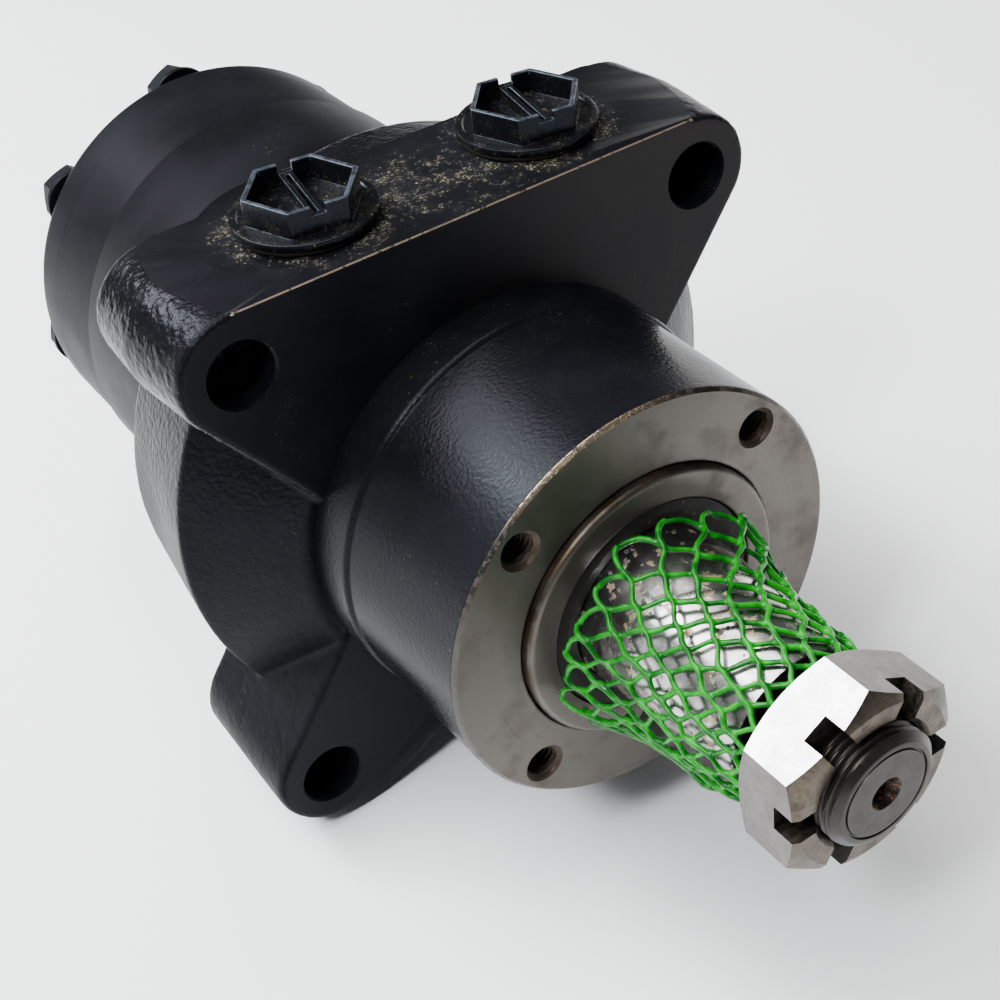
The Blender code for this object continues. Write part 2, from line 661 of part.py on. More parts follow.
def make_plates():
    inner, outer, depth = SEAL_GROOVE
    start, end = PLATE_Y
    plate = [
        (start, 17.0), (start, inner), (start + depth, inner), (start + depth, outer), (start, outer),
        (start, PACK_R), (end, PACK_R),
        (end, outer), (end - depth, outer), (end - depth, inner), (end, inner), (end, 17.0),
    ]
    spacer = turned_piece("spacer_plate", plate, "black_paint", PACK_SIDES)
    combine(spacer, make_pack_hole_cutter("plate_hole_cutter", PLATE_Y, feed=True), "DIFFERENCE")
    start, end = COVER_Y
    cover = [
        (start, inner), (start + depth, inner), (start + depth, outer), (start, outer),
        (start, PACK_R), (end - 4.0, PACK_R), (end - 1.2, PACK_R - 1.0), (end, PACK_R - 3.2),
    ]
    lid = turned_piece("end_cover", cover, "black_paint", PACK_SIDES, close=False)
    combine(lid, make_pack_hole_cutter("cover_hole_cutter", COVER_Y), "DIFFERENCE")


def make_body_seals():
    """O-rings of the pack, each in a groove of the plate or the cover."""
    inner, outer, depth = SEAL_GROOVE
    middle, section = (inner + outer) / 2, 0.62
    seats = (
        ("body_seal_front", PLATE_Y[0] + depth / 2),
        ("body_seal_middle", PLATE_Y[1] - depth / 2),
        ("body_seal_rear", COVER_Y[0] + depth / 2),
    )
    for name, y in seats:
        profile = [(y + dy, middle + dr) for dy, dr in circle(section, sides=5)]
        turned_piece(name, profile, "seal_rubber")


def make_cover_bolts():
    """Seven hexagon-head bolts with washers, through the pack into the housing."""
    seat = COVER_Y[1] + GAP
    under_head = seat + 1.6 + GAP
    hexagon = 13.0 / 2 / math.cos(math.radians(30.0))
    for number, direction in enumerate(bolt_directions(), start=1):
        place = polar(BOLT_CIRCLE_R, direction)
        washer = ring_profile(seat, seat + 1.6, BOLT_HOLE_R, 8.0)
        turned_piece("cover_washer_%d" % number, washer, "black_paint", 18, place)
        bm = bmesh.new()
        sides = 12

        def ring(radius, y):
            return [(x, y, z) for x, z in circle(radius, place, sides)]

        def head(scale, y):
            points = []
            for i in range(sides):
                angle = 360.0 * i / sides
                fold = math.radians((angle - direction) % 60.0 - 30.0)
                reach = hexagon * scale * math.cos(math.radians(30.0)) / math.cos(fold)
                x, z = polar(reach, angle)
                points.append((place[0] + x, y, place[1] + z))
            return points

        rings = [
            ring(BOLT_R - 0.8, 92.0), ring(BOLT_R, 92.8), ring(BOLT_R, under_head),
            head(1.0, under_head), head(1.0, under_head + 4.6), head(0.88, under_head + 5.3),
        ]
        add_rings(bm, rings, close=False)
        origin = (place[0], under_head, place[1])
        make_object("cover_bolt_%d" % number, bm, "black_paint", origin, crease=25.0)


# ---- port plugs ----------------------------------------------------------------------------
def hexagon_outline(flats, centre):
    corner = flats / 2 / math.cos(math.radians(30.0))
    points = []
    for k in range(6):
        x, y = polar(corner, PLUG_TURN + 30.0 + 60.0 * k)
        points.append((centre[0] + x, centre[1] + y))
    return points


def add_port_box(bm, centre, half, low, high):
    """Upright box across a plug, its long side along the direction of the driver slot."""
    lengthways, crossways = polar(half[0], PLUG_TURN + 60.0), polar(half[1], PLUG_TURN + 150.0)
    corners = []
    for a, b in ((1, 1), (-1, 1), (-1, -1), (1, -1)):
        corners.append((centre[0] + a * lengthways[0] + b * crossways[0],
                        centre[1] + a * lengthways[1] + b * crossways[1]))
    add_prism(bm, corners, low, high, axis="Z")


def make_port_plug(side, name):
    """Moulded plug: plain shank, flange, hollow hexagon head, a slot across its rim and a slotted rib."""
    centre = (side * PORT_X, PORT_Y)
    low, high = PLUG_FLANGE_Z
    bm = bmesh.new()
    body = [
        (TOP_Z - 13.0, PORT_BORE_R - 1.3), (TOP_Z - 12.0, PORT_BORE_R - 0.3),
        (low, PORT_BORE_R - 0.3), (low, PLUG_FLANGE_R - 0.3), (low + 0.3, PLUG_FLANGE_R),
        (high - 0.4, PLUG_FLANGE_R), (high, PLUG_FLANGE_R - 0.4),
    ]
    add_turned(bm, body, 32, centre, close=False, axis="Z")
    plug = make_object("port_plug_" + name, bm, "plug_plastic", (*centre, high))
    bm = bmesh.new()
    add_prism(bm, hexagon_outline(PLUG_HEX_FLATS, centre), high - 0.8, PLUG_TOP_Z, axis="Z")
    combine(plug, make_cutter("plug_hexagon_" + name, bm), "UNION")
    bm = bmesh.new()
    inside = hexagon_outline(PLUG_HEX_FLATS - 2 * PLUG_WALL, centre)
    add_prism(bm, inside, high + 0.4, PLUG_TOP_Z + 1.0, axis="Z")
    combine(plug, make_cutter("plug_hollow_" + name, bm), "DIFFERENCE")
    bm = bmesh.new()
    add_port_box(bm, centre, (PLUG_HEX_FLATS / 2 - 0.5, 1.9), high, PLUG_TOP_Z - 2.4)
    combine(plug, make_cutter("plug_rib_" + name, bm), "UNION")
    bm = bmesh.new()
    add_port_box(bm, centre, (PLUG_HEX_FLATS / 2 + 2.0, 1.5), PLUG_TOP_Z - 2.0, PLUG_TOP_Z + 1.0)
    combine(plug, make_cutter("plug_notch_" + name, bm), "DIFFERENCE")
    bm = bmesh.new()
    add_port_box(bm, centre, (PLUG_HEX_FLATS / 2 - PLUG_WALL - 0.6, 0.6), high + 1.0, PLUG_TOP_Z)
    combine(plug, make_cutter("plug_slot_" + name, bm), "DIFFERENCE")
    seal = ring_profile(TOP_Z + GAP, low - GAP, PORT_BORE_R + 2.0, 14.1)
    bm = bmesh.new()
    add_turned(bm, seal, 28, centre, axis="Z")
    make_object("port_seal_" + name, bm, "seal_rubber", (*centre, TOP_Z))


# ---- assembly ------------------------------------------------------------------------------
for old in list(bpy.data.objects):
    bpy.data.objects.remove(old, do_unlink=True)

MATERIALS = {name: make_material(name, *values) for name, values in FINISHES.items()}
ROOT = bpy.data.objects.new("hydraulic_motor", None)
bpy.context.collection.objects.link(ROOT)

make_housing()
make_seals()
make_bearings()
make_shaft()
make_nut()
make_net_sleeve()
make_gear_set()
make_drive_link()
make_plates()
make_body_seals()
make_cover_bolts()
make_port_plug(-1.0, "left")
make_port_plug(1.0, "right")
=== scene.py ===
"""Orbital hydraulic wheel motor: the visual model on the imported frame.

Lengths below are in millimetres, angles in degrees; meshes are made in metres in the motor's frame:
+X right seen from the shaft end, +Y away from the shaft end, +Z up.
"""
import json
import math
import random

import bmesh
import bpy
import numpy as np
from mathutils import Matrix, Vector, noise


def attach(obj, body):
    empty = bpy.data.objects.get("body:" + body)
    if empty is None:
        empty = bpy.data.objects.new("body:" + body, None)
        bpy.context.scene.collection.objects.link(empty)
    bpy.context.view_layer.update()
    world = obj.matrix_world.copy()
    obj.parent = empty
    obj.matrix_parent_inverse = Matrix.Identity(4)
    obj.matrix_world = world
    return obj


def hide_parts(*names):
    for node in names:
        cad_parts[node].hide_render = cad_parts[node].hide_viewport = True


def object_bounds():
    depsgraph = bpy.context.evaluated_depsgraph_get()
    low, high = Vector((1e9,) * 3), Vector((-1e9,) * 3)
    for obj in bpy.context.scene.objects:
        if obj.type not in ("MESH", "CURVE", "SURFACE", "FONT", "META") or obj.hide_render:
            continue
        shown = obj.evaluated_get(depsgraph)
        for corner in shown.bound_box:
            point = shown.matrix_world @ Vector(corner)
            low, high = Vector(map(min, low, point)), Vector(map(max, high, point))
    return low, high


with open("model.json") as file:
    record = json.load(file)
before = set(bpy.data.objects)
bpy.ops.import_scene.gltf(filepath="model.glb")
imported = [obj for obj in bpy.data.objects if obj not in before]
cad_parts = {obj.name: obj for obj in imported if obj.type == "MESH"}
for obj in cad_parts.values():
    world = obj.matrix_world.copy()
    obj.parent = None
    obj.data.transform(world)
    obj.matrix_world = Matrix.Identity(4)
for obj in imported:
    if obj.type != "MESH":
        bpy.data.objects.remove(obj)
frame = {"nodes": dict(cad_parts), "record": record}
CAD_LOW, CAD_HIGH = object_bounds()
MM = 0.001
COS_30 = math.cos(math.radians(30.0))
PIECES = bpy.context.scene.collection

# ---- dimensions shared with the CAD source ----
EAR_PITCH = 106.36
EAR_HOLE_R = 6.9
EAR_R = 13.0
EAR_R_PARTING = 14.3
EAR_DEPTH = 36.2
EAR_SLOPE = (0.6, 0.8)
FLARE_SHIFT = (6.6, 4.9)
FLARE_GROWTH = 7.7
FLARE_TURN = 8.5
PARTING_Y = 20.0
TOP_Z = 66.2
NOSE_Y = -47.78
NOSE_R = 45.25
PILOT_R = 46.2
PILOT_Y = -10.25
BARREL_R = 67.4
BARREL_REAR_R = 63.3
BARREL_REAR_Y = 50.75
REAR_BODY_R = 50.3
HOUSING_END_Y = 104.5
SPOOL_BORE_R = 24.3
BEARING_BORE_R = 29.7
SHOULDER_Y = -6.0
TAPPED_CIRCLE_R = 39.0
TAPPED_R = 3.75
TAPPED_DEPTH = 16.0
TAPPED_PITCH = 1.25
PORT_X = 26.0
PORT_Y = 20.0
PORT_BOSS_R = 22.4
PORT_BORE_R = 10.5
PORT_DEPTH = 16.0
PLUG_FLANGE_R = 14.6
PLUG_FLANGE_Z = (67.6, 69.1)
PLUG_SEAL_R = 14.1
PLUG_HEX_FLATS = 20.7
PLUG_TOP_Z = 74.2
PLUG_TURN = 19.7
PLUG_WALL = 1.15
SHAFT_END_Y = -112.6
THREAD_R = 12.0
THREAD_PITCH = 1.5
TAPER_SMALL_Y = -90.9
TAPER_SMALL_R = 15.5
TAPER_BIG_Y = -50.0
SEAL_LAND_R = 17.5
JOURNAL_R = 20.0
COLLAR_R = 29.0
COLLAR_Y = (-16.0, -12.6)
SPOOL_R = 24.0
SPOOL_END_Y = 103.9
SPOOL_GROOVES = ((11.0, 19.0), (22.0, 30.0))
SPOOL_SLOT_Y = (66.0, 78.0)
SPOOL_SLOTS = 12
NUT_FLATS = 36.0
NUT_Y = (-109.6, -94.8)
NUT_CORNER = 90.7
NUT_SLOT = (5.5, 5.2)
KEY_WIDTH = 6.0
KEY_Y = (-83.0, -63.0)
KEY_R = (12.9, 18.9)
KEY_TURN = 225.0
ROLLERS = 7
ROLLER_CIRCLE_R = 29.5
ROLLER_R = 5.3
PACK_R = 49.6
SEAM_R = 47.6          # the pack's plates stand back inside this radius, so that their rims meet
SEAM_LIP = 0.13
BOLT_CIRCLE_R = 42.0
BOLT_R = 3.8
BOLT_HOLE_R = 4.1
BOLT_REACH = 16.0
BOLT_TIP_Y = 92.0
BOLT_HEAD_FLATS = 13.0
WASHER_R = 8.0
WASHER_T = 1.6
BOLT_PHASE = 90.0
STEP = 360.0 / ROLLERS
GEAR_PHASE = BOLT_PHASE - 1.5 * STEP
PLATE_Y = (104.8, 110.6)
STATOR_Y = (110.9, 124.5)
COVER_Y = (124.8, 136.0)
FEED_R = 29.0
FEED_HOLE_R = 3.0
SEAL_GROOVE = (35.6, 37.4, 1.7)
SPLINE_TEETH = 12
SPLINE_ROOT_R = 10.1
SPLINE_TIP_R = 12.0
SPLINE_PLAY = 0.45
SHAFT_SPLINE_Y = 28.0


# ---- camera ----
CAMERA_PLACE = (-0.15021, -0.25340, 0.22922)      # metres
CAMERA_RIGHT = (0.8198, -0.5647, -0.0952)
CAMERA_BACK = (-0.3946, -0.6776, 0.6206)
CAMERA_LENS = 63.1639


def make_camera():
    """Three-quarter view from the front left and above, rolled a little."""
    back = Vector(CAMERA_BACK).normalized()
    up = back.cross(Vector(CAMERA_RIGHT).normalized()).normalized()
    right = up.cross(back)
    data = bpy.data.cameras.new("camera")
    data.sensor_width = 36.0
    data.lens = CAMERA_LENS
    data.clip_start, data.clip_end = 0.01, 50.0
    camera = bpy.data.objects.new("camera", data)
    turn = Matrix((right, up, back)).transposed()
    camera.matrix_world = Matrix.Translation(CAMERA_PLACE) @ turn.to_4x4()
    PIECES.objects.link(camera)
    bpy.context.scene.camera = camera


# ---- materials ----
class Shader:
    """A Principled material: base starts its colour, coats and bumps go over what is there."""

    def __init__(self, name, metal=0.0, shine=0.5, tint=(1.0, 1.0, 1.0)):
        self.material = bpy.data.materials.new(name)
        self.material.use_nodes = True
        self.tree = self.material.node_tree
        self.out = self.tree.nodes["Principled BSDF"].inputs
        self.feed(self.out["Metallic"], metal)
        self.feed(self.out["Specular IOR Level"], shine)
        self.feed(self.out["Specular Tint"], tint)
        self.place = self.tree.nodes.new("ShaderNodeTexCoord").outputs["Object"]
        self.colour = self.normal = None

    def node(self, kind, settings=None, **inputs):
        made = self.tree.nodes.new("ShaderNode" + kind)
        for key, value in (settings or {}).items():
            setattr(made, key, value)
        for key, value in inputs.items():
            socket = made.inputs[int(key[1:])] if key[0] == "i" and key[1:].isdigit() else made.inputs[key]
            if isinstance(value, bpy.types.NodeSocket):
                self.tree.links.new(value, socket)
            else:
                socket.default_value = value
        return made

    def math(self, operation, a, b=0.0, clamp=False):
        return self.node("Math", {"operation": operation, "use_clamp": clamp}, i0=a, i1=b).outputs[0]

    def times(self, a, b):
        return self.math("MULTIPLY", a, b)

    def plus(self, a, b, clamp=False):
        return self.math("ADD", a, b, clamp)

    def minus(self, a, b, clamp=False):
        return self.math("SUBTRACT", a, b, clamp)

    def highest(self, a, b):
        return self.math("MAXIMUM", a, b)

    def noise(self, size, detail=3.0, rough=0.55, place=None):
        """Soft noise from 0 to 1 with features of about size millimetres."""
        found = self.node("TexNoise", None, Vector=place or self.place, Scale=1000.0 / size,
                          Detail=detail, Roughness=rough)
        return found.outputs[0]

    def cells(self, size, feature="F1", place=None):
        return self.node("TexVoronoi", {"feature": feature}, Vector=place or self.place, Scale=1000.0 / size)

    def tone(self, cells):
        """A number from 0 to 1 that is the same all over each cell."""
        return self.node("SeparateColor", None, Color=cells.outputs["Color"]).outputs[0]

    def step(self, value, low, high, to_low=0.0, to_high=1.0):
        """Map value from low..high to to_low..to_high, smooth and clamped."""
        made = self.node("MapRange", {"interpolation_type": "SMOOTHSTEP"}, i0=value)
        for index, number in ((1, low), (2, high), (3, to_low), (4, to_high)):
            made.inputs[index].default_value = number
        return made.outputs[0]

    def feed(self, socket, value):
        """Link or set one socket; colours are given without alpha."""
        if isinstance(value, bpy.types.NodeSocket):
            self.tree.links.new(value, socket)
        elif socket.type == "RGBA":
            socket.default_value = (*value, 1.0)
        else:
            socket.default_value = value

    def mix(self, share, a, b):
        made = self.node("Mix", {"data_type": "RGBA"})
        for socket, value in ((made.inputs["Factor"], share), (made.inputs[6], a), (made.inputs[7], b)):
            self.feed(socket, value)
        return made.outputs[2]

    def along(self, axis):
        """Object coordinate X, Y or Z in millimetres."""
        return self.times(self.node("SeparateXYZ", None, Vector=self.place).outputs[axis], 1000.0)

    def from_line(self, a, b, centre=(0.0, 0.0)):
        """Distance in millimetres from a line through centre, given the two coordinates across it."""
        u = self.minus(a, centre[0])
        v = self.minus(b, centre[1])
        return self.math("SQRT", self.plus(self.times(u, u), self.times(v, v)))

    def stretched(self, x, y, z):
        return self.node("Mapping", None, Vector=self.place, Scale=(x, y, z)).outputs[0]

    def joined(self, x, y, z):
        made = self.node("CombineXYZ")
        for i, value in enumerate((x, y, z)):
            self.feed(made.inputs[i], value)
        return made.outputs[0]

    def base(self, share, a, b):
        self.colour = self.mix(share, a, b)

    def coat(self, share, colour):
        self.colour = self.mix(share, self.colour, colour)

    def bump(self, height, depth):
        """A bump over the ones before, whose heights run over depth millimetres."""
        made = self.node("Bump", None, Strength=1.0, Distance=depth * MM, Height=height)
        if self.normal is not None:
            self.tree.links.new(self.normal, made.inputs["Normal"])
        self.normal = made.outputs[0]

    def finish(self, roughness, metal=None):
        """Feed the Principled node and return the finished material."""
        fed = {"Base Color": self.colour, "Roughness": roughness, "Normal": self.normal, "Metallic": metal}
        for key, value in fed.items():
            if value is not None:
                self.feed(self.out[key], value)
        return self.material


PAINT_COLOUR = (0.0026, 0.0027, 0.0036)
PAINT_TINT = (0.82, 0.88, 1.0)       # bluish gloss of the black enamel
PLUG_TINT = (0.70, 0.82, 1.0)


def specks(s, size, share):
    """Sparse round grains: a share of the cells of a Voronoi pattern hold one."""
    cells = s.cells(size)
    chosen = s.math("LESS_THAN", s.tone(cells), share)
    spot = s.step(cells.outputs["Distance"], 0.28, 0.42, 1.0, 0.0)
    return s.times(chosen, spot)


def black_paint(name, peel, cast, rough, shine, dust=0.0, painted_sheen=0.0):
    """Black enamel with orange peel; if cast, a cast grain; a little grit; and, if asked, a painted brownish
    sheen towards the right.
    """
    s = Shader(name, shine=shine, tint=PAINT_TINT)
    broad = s.noise(26.0, 4.0)
    fine = s.noise(2.2, 3.0)
    s.base(s.step(broad, 0.35, 0.7), PAINT_COLOUR, tuple(c * 1.8 for c in PAINT_COLOUR))
    s.coat(s.times(s.step(fine, 0.5, 0.75), 0.3), (0.008, 0.0075, 0.007))
    if painted_sheen:
        # painted sheen: the film here is a brownish sheen painted over the right side, fading out to the left
        film = s.times(s.step(s.along("X"), -15.0, 38.0), s.step(broad, 0.3, 0.6, 0.5, 1.0))
        s.coat(s.times(film, painted_sheen), (0.026, 0.020, 0.016))
    grains = s.step(s.noise(0.62, 2.0, 0.5), 0.675 - dust, 0.71 - dust)
    clouds = s.step(s.noise(13.0, 3.0), 0.55 - dust, 0.68)
    grit = s.times(grains, clouds)
    s.coat(s.times(grit, 0.42), (0.16, 0.115, 0.055))
    roughness = s.plus(s.step(broad, 0.3, 0.7, *rough), s.times(grit, 0.4))
    s.bump(s.noise(0.80, 2.0, 0.45), peel)
    if cast:
        z = s.along("Z")
        shift = s.node("TexNoise", None, Vector=s.place, Scale=700.0).outputs[1]
        shift = s.node("VectorMath", {"operation": "SCALE"}, i0=shift, Scale=0.0009).outputs[0]
        moved = s.node("VectorMath", {"operation": "ADD"}, i0=s.place, i1=shift).outputs[0]
        pebbles = s.cells(1.15, "SMOOTH_F1", moved)
        above = s.step(z, -20.0, 25.0, 0.4, 1.0)
        roughness = s.plus(roughness, s.step(z, -10.0, 25.0, 0.16, 0.0))
        height = s.times(s.minus(1.0, pebbles.outputs["Distance"]), above)
        s.bump(height, cast)
        s.bump(s.times(s.noise(0.6, 2.0), above), cast * 0.5)
    s.bump(grit, 0.12)
    return s.finish(roughness)


def top_paint():
    """The painted port face: thin paint with yellow grit lying round the plugs."""
    s = Shader("paint_port_face", shine=0.11, tint=PAINT_TINT)
    x, y = s.along("X"), s.along("Y")
    near = None
    for side in (-1.0, 1.0):
        away = s.from_line(x, y, (side * PORT_X, PORT_Y))
        ring = s.step(away, 14.6, 21.0, 1.0, 0.0)
        near = ring if near is None else s.highest(near, ring)
    middle = s.step(s.from_line(s.times(x, 0.62), y, (3.0, 15.0)), 5.0, 20.0, 0.95, 0.0)
    near = s.highest(near, middle)
    clouds = s.step(s.noise(8.0, 4.0, 0.7), 0.38, 0.64)
    clumps = s.step(s.noise(2.2, 3.0, 0.6), 0.36, 0.62, 0.25, 1.0)
    amount = s.times(s.times(near, clouds), clumps)
    grit = None
    for size, share in ((0.85, 0.80), (0.5, 0.95)):
        cells = s.cells(size)
        chosen = s.step(s.minus(s.times(amount, share), s.tone(cells)), -0.05, 0.35)
        spot = s.times(chosen, s.step(cells.outputs["Distance"], 0.20, 0.62, 1.0, 0.0))
        grit = spot if grit is None else s.highest(grit, spot)
    s.base(s.step(s.noise(18.0, 4.0), 0.35, 0.7), (0.0028, 0.0029, 0.0038), (0.0055, 0.0056, 0.0075))
    s.coat(s.times(amount, 0.30), (0.036, 0.033, 0.026))
    hue = s.mix(s.noise(1.7, 2.0), (0.150, 0.118, 0.058), (0.118, 0.118, 0.096))
    s.coat(s.times(grit, 0.85), hue)
    roughness = s.plus(s.step(s.noise(20.0, 3.0), 0.3, 0.7, 0.26, 0.36), s.times(amount, 0.3), True)
    s.bump(s.noise(1.1, 2.0), 0.02)
    s.bump(grit, 0.25)
    return s.finish(roughness)


def worn_edge():
    """Paint worn through to coppery metal along a sharp edge, in flecks."""
    s = Shader("paint_worn_edge")
    bare = s.step(s.noise(1.6, 4.0, 0.7), 0.38, 0.50)
    long = s.step(s.noise(16.0, 2.0), 0.30, 0.46)
    bare = s.times(bare, long)
    hue = s.mix(s.noise(3.0, 2.0), (0.46, 0.29, 0.17), (0.44, 0.38, 0.31))
    s.base(bare, (0.010, 0.010, 0.011), hue)
    s.bump(bare, 0.03)
    return s.finish(0.38, s.times(bare, 0.8))


def turned_iron():
    """Bare turned iron: fine concentric marks, brown stains, rust at the joint."""
    s = Shader("iron_turned_face")
    x, z = s.along("X"), s.along("Z")
    radius = s.from_line(x, z)
    marks = s.noise(0.42, 2.0, 0.6, s.joined(s.times(radius, MM), 0.0, 0.0))
    broad_marks = s.noise(2.6, 2.0, 0.5, s.joined(s.times(radius, MM), 0.0, 0.0))
    stain = s.step(s.noise(9.0, 5.0, 0.62), 0.42, 0.72)
    s.base(stain, (0.100, 0.089, 0.079), (0.066, 0.054, 0.045))
    s.coat(s.times(s.step(broad_marks, 0.35, 0.65), 0.25), (0.135, 0.121, 0.108))
    freckles = s.times(specks(s, 0.9, 0.10), s.step(s.noise(11.0, 3.0), 0.45, 0.65))
    s.coat(s.times(freckles, 0.7), (0.07, 0.045, 0.03))
    # painted shade: the turned face is darkened and turned faintly olive towards the upper left
    shade = s.step(s.minus(s.times(z, 0.8), s.times(x, 0.6)), 0.0, 42.0, 0.0, 0.62)
    s.coat(shade, (0.030, 0.031, 0.024))
    joint = s.step(s.math("ABSOLUTE", s.minus(radius, 29.9)), 0.35, 0.85, 1.0, 0.0)
    patchy = s.step(s.noise(4.5, 4.0, 0.6), 0.35, 0.6, 0.25, 0.95)
    s.coat(s.times(joint, patchy), (0.036, 0.022, 0.012))
    roughness = s.plus(s.step(stain, 0.0, 1.0, 0.36, 0.50), s.times(marks, 0.06))
    s.bump(marks, 0.010)
    s.bump(s.noise(0.6, 2.0), 0.006)
    metal = s.step(stain, 0.0, 1.0, 0.9, 0.72)
    return s.finish(roughness, metal)


def bright_edge():
    """Narrow chamfer of iron beside chipped brown paint; the iron is pale and golden only on the upper left,
    partly wear and partly a painted highlight.
    """
    s = Shader("iron_chamfer_worn_and_highlit")
    chips = s.step(s.noise(1.3, 4.0, 0.7), 0.50, 0.60)
    # painted highlight and wear: paler golden iron on the upper left, dark iron elsewhere
    upper = s.times(s.step(s.along("Z"), 32.0, 42.0), s.step(s.along("X"), -4.0, 14.0, 1.0, 0.0))
    iron = s.mix(upper, (0.060, 0.055, 0.050), (0.34, 0.26, 0.17))
    s.base(chips, iron, (0.030, 0.020, 0.014))
    s.bump(chips, 0.03)
    return s.finish(s.step(chips, 0.0, 1.0, 0.30, 0.50), s.step(chips, 0.0, 1.0, 0.95, 0.2))


def rusty_thread():
    s = Shader("iron_rusty_thread")
    spots = s.noise(1.2, 4.0, 0.7)
    s.base(spots, (0.010, 0.007, 0.005), (0.060, 0.036, 0.022))
    s.bump(spots, 0.05)
    return s.finish(s.step(spots, 0.3, 0.7, 0.42, 0.7), 0.55)


def steel(name, light, dark, rough, stains=0.0, turned=True, depth=0.004):
    """Steel with marks round its axis if turned, or else across, and optional grease spots."""
    s = Shader(name, 1.0)
    run = s.joined(0.0, s.times(s.along("Y"), MM), 0.0) if turned else s.stretched(0.12, 1.0, 0.12)
    marks = s.noise(0.22, 2.0, 0.6, run)
    cloud = s.noise(5.5, 4.0, 0.6)
    s.base(s.step(cloud, 0.35, 0.7), light, dark)
    roughness = s.plus(s.step(cloud, 0.3, 0.7, *rough), s.times(marks, 0.05))
    s.bump(marks, depth)
    metal = 1.0
    if stains:
        grease = s.times(s.step(s.noise(3.6, 4.0, 0.62), 0.60 - stains, 0.70 - stains), 0.85)
        s.coat(grease, (0.42, 0.29, 0.12))
        roughness = s.plus(roughness, s.times(grease, 0.22))
        dots = s.times(specks(s, 1.5, 0.14), s.step(s.noise(6.0, 2.0), 0.42, 0.6))
        s.coat(dots, (0.03, 0.022, 0.015))
        metal = s.minus(1.0, s.highest(s.times(grease, 0.55), dots), True)
        s.bump(s.plus(grease, dots), 0.05)
    return s.finish(roughness, metal)


def nut_steel(name, light, dark, speckle):
    """Ground nut steel: brushed flats, dark specks, a greasy bloom."""
    s = Shader(name, 1.0)
    bloom = s.noise(4.0, 4.0, 0.6)
    fine = s.noise(0.8, 3.0, 0.6)
    s.base(s.step(bloom, 0.35, 0.7), light, dark)
    s.coat(s.times(s.step(fine, 0.45, 0.7), 0.35), tuple(c * 0.55 for c in dark))
    pits = s.times(specks(s, 0.85, 0.22), s.step(s.noise(4.2, 3.0), 0.45, 0.60))
    pits = s.times(pits, speckle)
    s.coat(pits, (0.03, 0.022, 0.016))
    marks = s.noise(0.5, 3.0, 0.6, s.stretched(0.18, 1.0, 0.18))
    roughness = s.plus(s.step(bloom, 0.3, 0.7, 0.22, 0.33), s.times(marks, 0.08))
    metal = s.minus(1.0, s.times(pits, 0.6), True)
    s.bump(marks, 0.006)
    s.bump(pits, 0.04)
    return s.finish(roughness, metal)


def slot_dark():
    # Near-black steel for the nut's slots and bore: painted shade in these recesses, with some grime mottling
    # it.
    s = Shader("steel_slot_grime_and_shade", shine=0.15)
    dirt = s.noise(1.1, 4.0, 0.65)
    s.base(s.step(dirt, 0.3, 0.8), (0.004, 0.0035, 0.003), (0.030, 0.023, 0.017))
    s.bump(s.noise(0.4, 3.0), 0.03)
    return s.finish(s.step(dirt, 0.3, 0.7, 0.35, 0.6), 0.3)


def thread_steel():
    """Dark oiled steel of the threaded end: turned rings, a centre drilling painted near-black as shade, with
    rust-orange specks.
    """
    s = Shader("steel_thread_end")
    y = s.along("Y")
    radius = s.from_line(s.along("X"), s.along("Z"))
    rings = s.noise(0.5, 2.0, 0.6, s.joined(s.times(radius, MM), s.times(y, MM), 0.0))
    cloud = s.noise(3.5, 4.0, 0.6)
    s.base(cloud, (0.014, 0.0115, 0.0095), (0.028, 0.023, 0.019))
    s.coat(s.times(s.step(rings, 0.45, 0.7), 0.35), (0.050, 0.042, 0.035))
    side = s.times(s.step(y, -111.9, -111.2), s.step(s.noise(2.4, 4.0, 0.65), 0.35, 0.65, 0.15, 0.85))
    s.coat(side, (0.018, 0.012, 0.008))
    # painted shade: the centre drilling is coloured near-black, with rust-orange specks
    hollow = s.step(radius, 3.2, 3.8, 1.0, 0.0)
    rust = s.mix(s.step(s.noise(0.7, 4.0), 0.52, 0.66), (0.012, 0.008, 0.006), (0.16, 0.065, 0.020))
    s.coat(hollow, rust)
    groove = s.step(s.math("ABSOLUTE", s.minus(radius, 9.2)), 0.15, 0.4, 0.85, 0.0)
    face = s.step(y, -112.2, -111.9, 1.0, 0.0)
    s.coat(s.times(groove, face), (0.012, 0.007, 0.004))
    s.bump(rings, 0.016)
    return s.finish(s.step(cloud, 0.3, 0.7, 0.30, 0.46), 0.7)


def rubber():
    s = Shader("rubber_seal", shine=0.14)
    film = s.noise(1.6, 4.0, 0.6)
    grit = s.times(specks(s, 0.9, 0.16), s.step(s.noise(5.0, 3.0), 0.45, 0.65))
    s.base(film, (0.007, 0.0065, 0.006), (0.016, 0.0145, 0.0125))
    s.coat(grit, (0.09, 0.07, 0.04))
    s.bump(film, 0.02)
    return s.finish(s.step(film, 0.3, 0.7, 0.42, 0.6))


